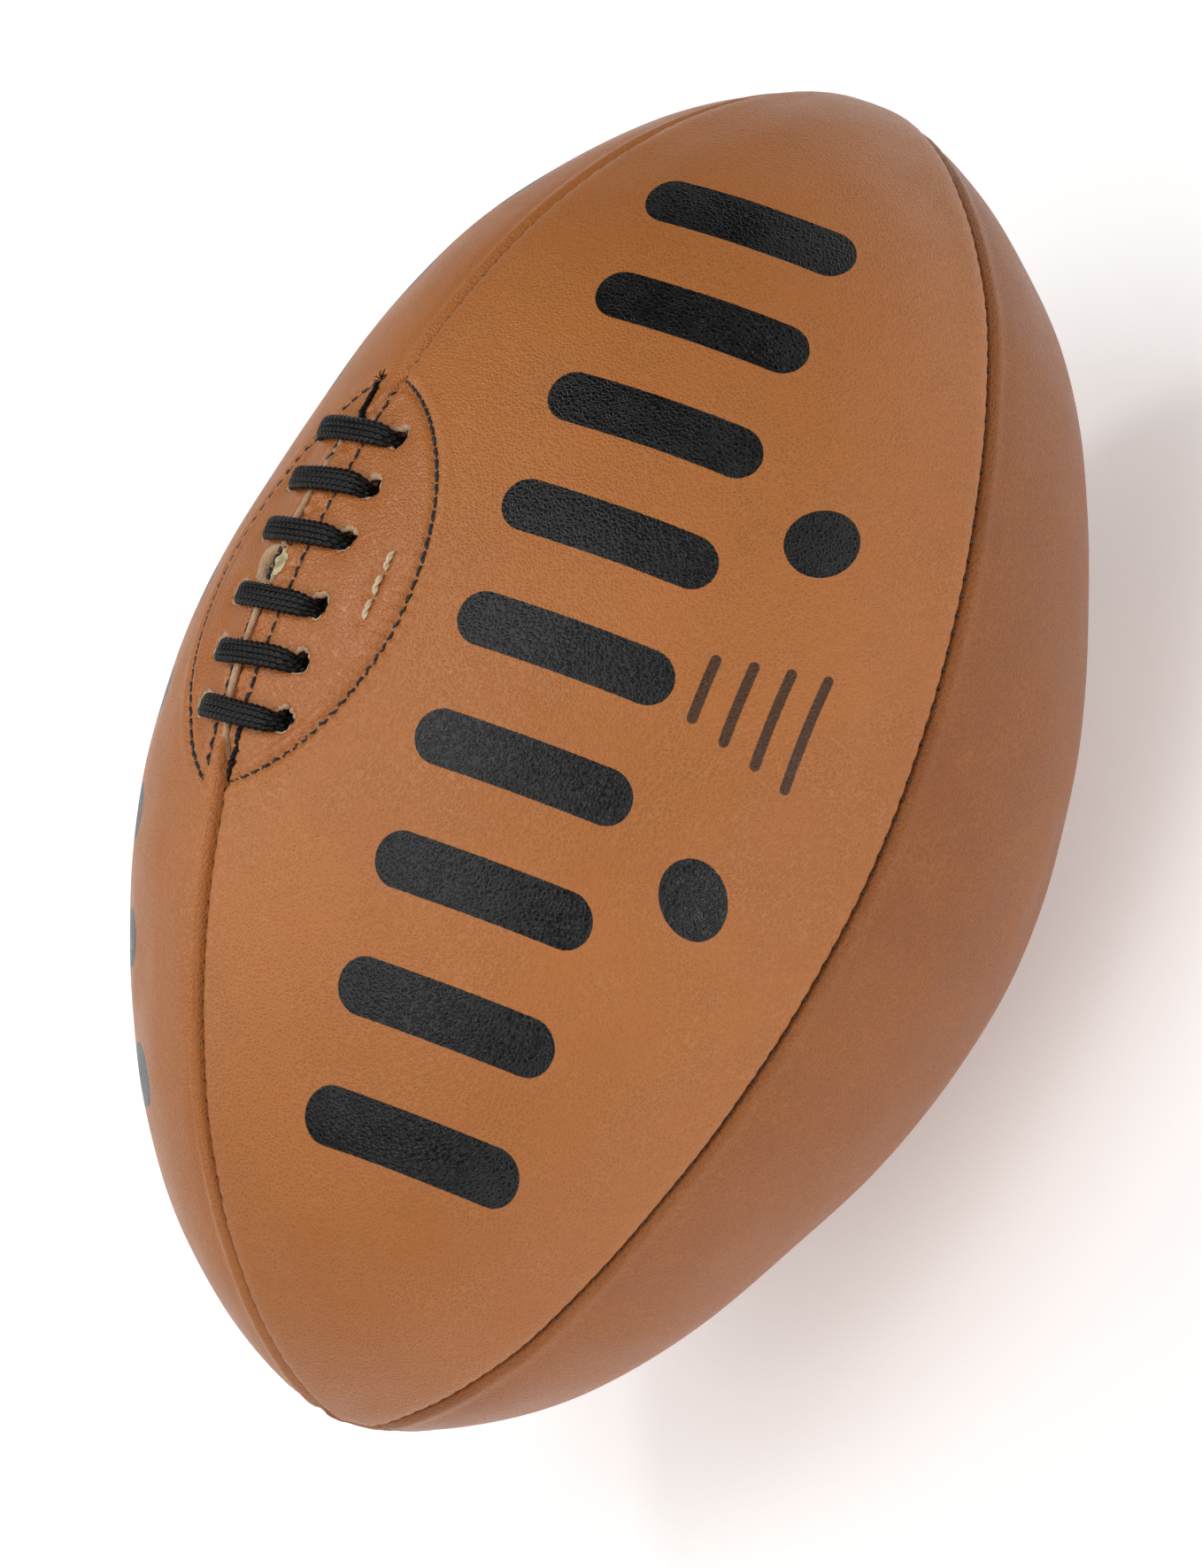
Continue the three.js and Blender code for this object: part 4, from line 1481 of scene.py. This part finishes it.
def camera_axes():
    """Right, up and back directions of the camera."""
    az, el, roll = (math.radians(v) for v in (CAMERA_AZIMUTH, CAMERA_ELEVATION, CAMERA_ROLL))
    back = Vector((math.sin(az) * math.cos(el), -math.cos(az) * math.cos(el), math.sin(el)))
    level = (-back).cross(Vector((0, 0, 1))).normalized()
    upright = level.cross(-back)
    right = math.cos(roll) * level - math.sin(roll) * upright
    up = math.sin(roll) * level + math.cos(roll) * upright
    return right, up, back


def make_camera():
    """The camera at the ball's viewing angle."""
    data = bpy.data.cameras.new("camera")
    data.lens = CAMERA_LENS
    data.sensor_width = 36
    data.sensor_fit = "AUTO"
    data.shift_x = SHIFT_X
    data.shift_y = SHIFT_Y
    camera = bpy.data.objects.new("camera", data)
    bpy.context.scene.collection.objects.link(camera)
    right, up, back = camera_axes()
    turn = Matrix((right, up, back)).transposed().to_4x4()
    camera.matrix_world = Matrix.Translation(back * CAMERA_DISTANCE) @ turn
    bpy.context.scene.camera = camera


def make_light(name, towards, distance, size, power):
    """A soft area light; towards is given along the picture's right, up and viewer axes."""
    right, up, back = camera_axes()
    way = (right * towards[0] + up * towards[1] + back * towards[2]).normalized()
    data = bpy.data.lights.new(name, "AREA")
    data.shape = "RECTANGLE"
    data.size, data.size_y = size
    data.energy = power
    light = bpy.data.objects.new(name, data)
    bpy.context.scene.collection.objects.link(light)
    light.matrix_world = Matrix.Translation(way * distance) @ (
        way.to_track_quat("Z", "Y").to_matrix().to_4x4()
    )


def make_studio():
    """The lights, a faint even surround, and the floor under the ball."""
    scene = bpy.context.scene
    scene.view_settings.view_transform = "Standard"
    world = bpy.data.worlds.new("studio")
    world.use_nodes = True
    background = world.node_tree.nodes["Background"]
    background.inputs["Color"].default_value = (1, 1, 1, 1)
    background.inputs["Strength"].default_value = WORLD_STRENGTH
    scene.world = world
    for light in LIGHTS:
        make_light(*light)
    mesh = bpy.data.meshes.new("floor")
    level = cad_box[0][2] - 0.3 * MM
    corners = [(x * FLOOR_HALF, y * FLOOR_HALF, level)
               for x, y in ((-1, -1), (1, -1), (1, 1), (-1, 1))]
    mesh.from_pydata(corners, [], [(0, 1, 2, 3)])
    mesh.materials.append(floor_material())
    floor = bpy.data.objects.new("floor", mesh)
    scene.collection.objects.link(floor)


# ---- the ball

def dress(node, material):
    """Gives a carried-over CAD node its finished material."""
    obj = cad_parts[node]
    obj.data.materials.clear()
    obj.data.materials.append(material)
    obj.data.polygons.foreach_set("use_smooth", [True] * len(obj.data.polygons))


def make_ball():
    """Every piece of the ball, from the panels to the valve."""
    printed = leather_material(True)
    # The plain leather of the lower panels is painted darker: painted shade.
    plain = leather_material(False)
    raw = raw_leather_material()
    canvas = canvas_material()
    thread = thread_material()
    for name, (_, _, side) in PANELS.items():
        make_panel(name, printed if side else plain, raw)
        make_lining(name.replace("panel", "lining"), canvas)
    make_facing("facing_front", 1, raw)
    make_facing("facing_back", -1, raw)
    make_facing_threads(thread, raw)
    make_seam_threads(thread)
    make_lace(lace_material())
    make_twine(twine_material())
    make_hole_rims(raw)
    make_slit_edge(raw)
    cream = rubber_material("rubber_cream", colour(196, 180, 142), colour(226, 214, 180), 1.0)
    bladder = rubber_material("rubber_bladder", colour(120, 72, 52), colour(150, 92, 68), 0.3)
    # A near-black copy of the rubber for the mouth's deep faces: painted shade.
    shade_rubber = rubber_material("rubber_painted_shade", colour(22, 20, 16), colour(52, 48, 38), 0.6)
    make_valve(cream, shade_rubber)
    dress("tongue", raw)
    dress("bladder", bladder)
    dress("valve_body", cream)
    dress("valve_plug", cream)


make_ball()
make_studio()
make_camera()
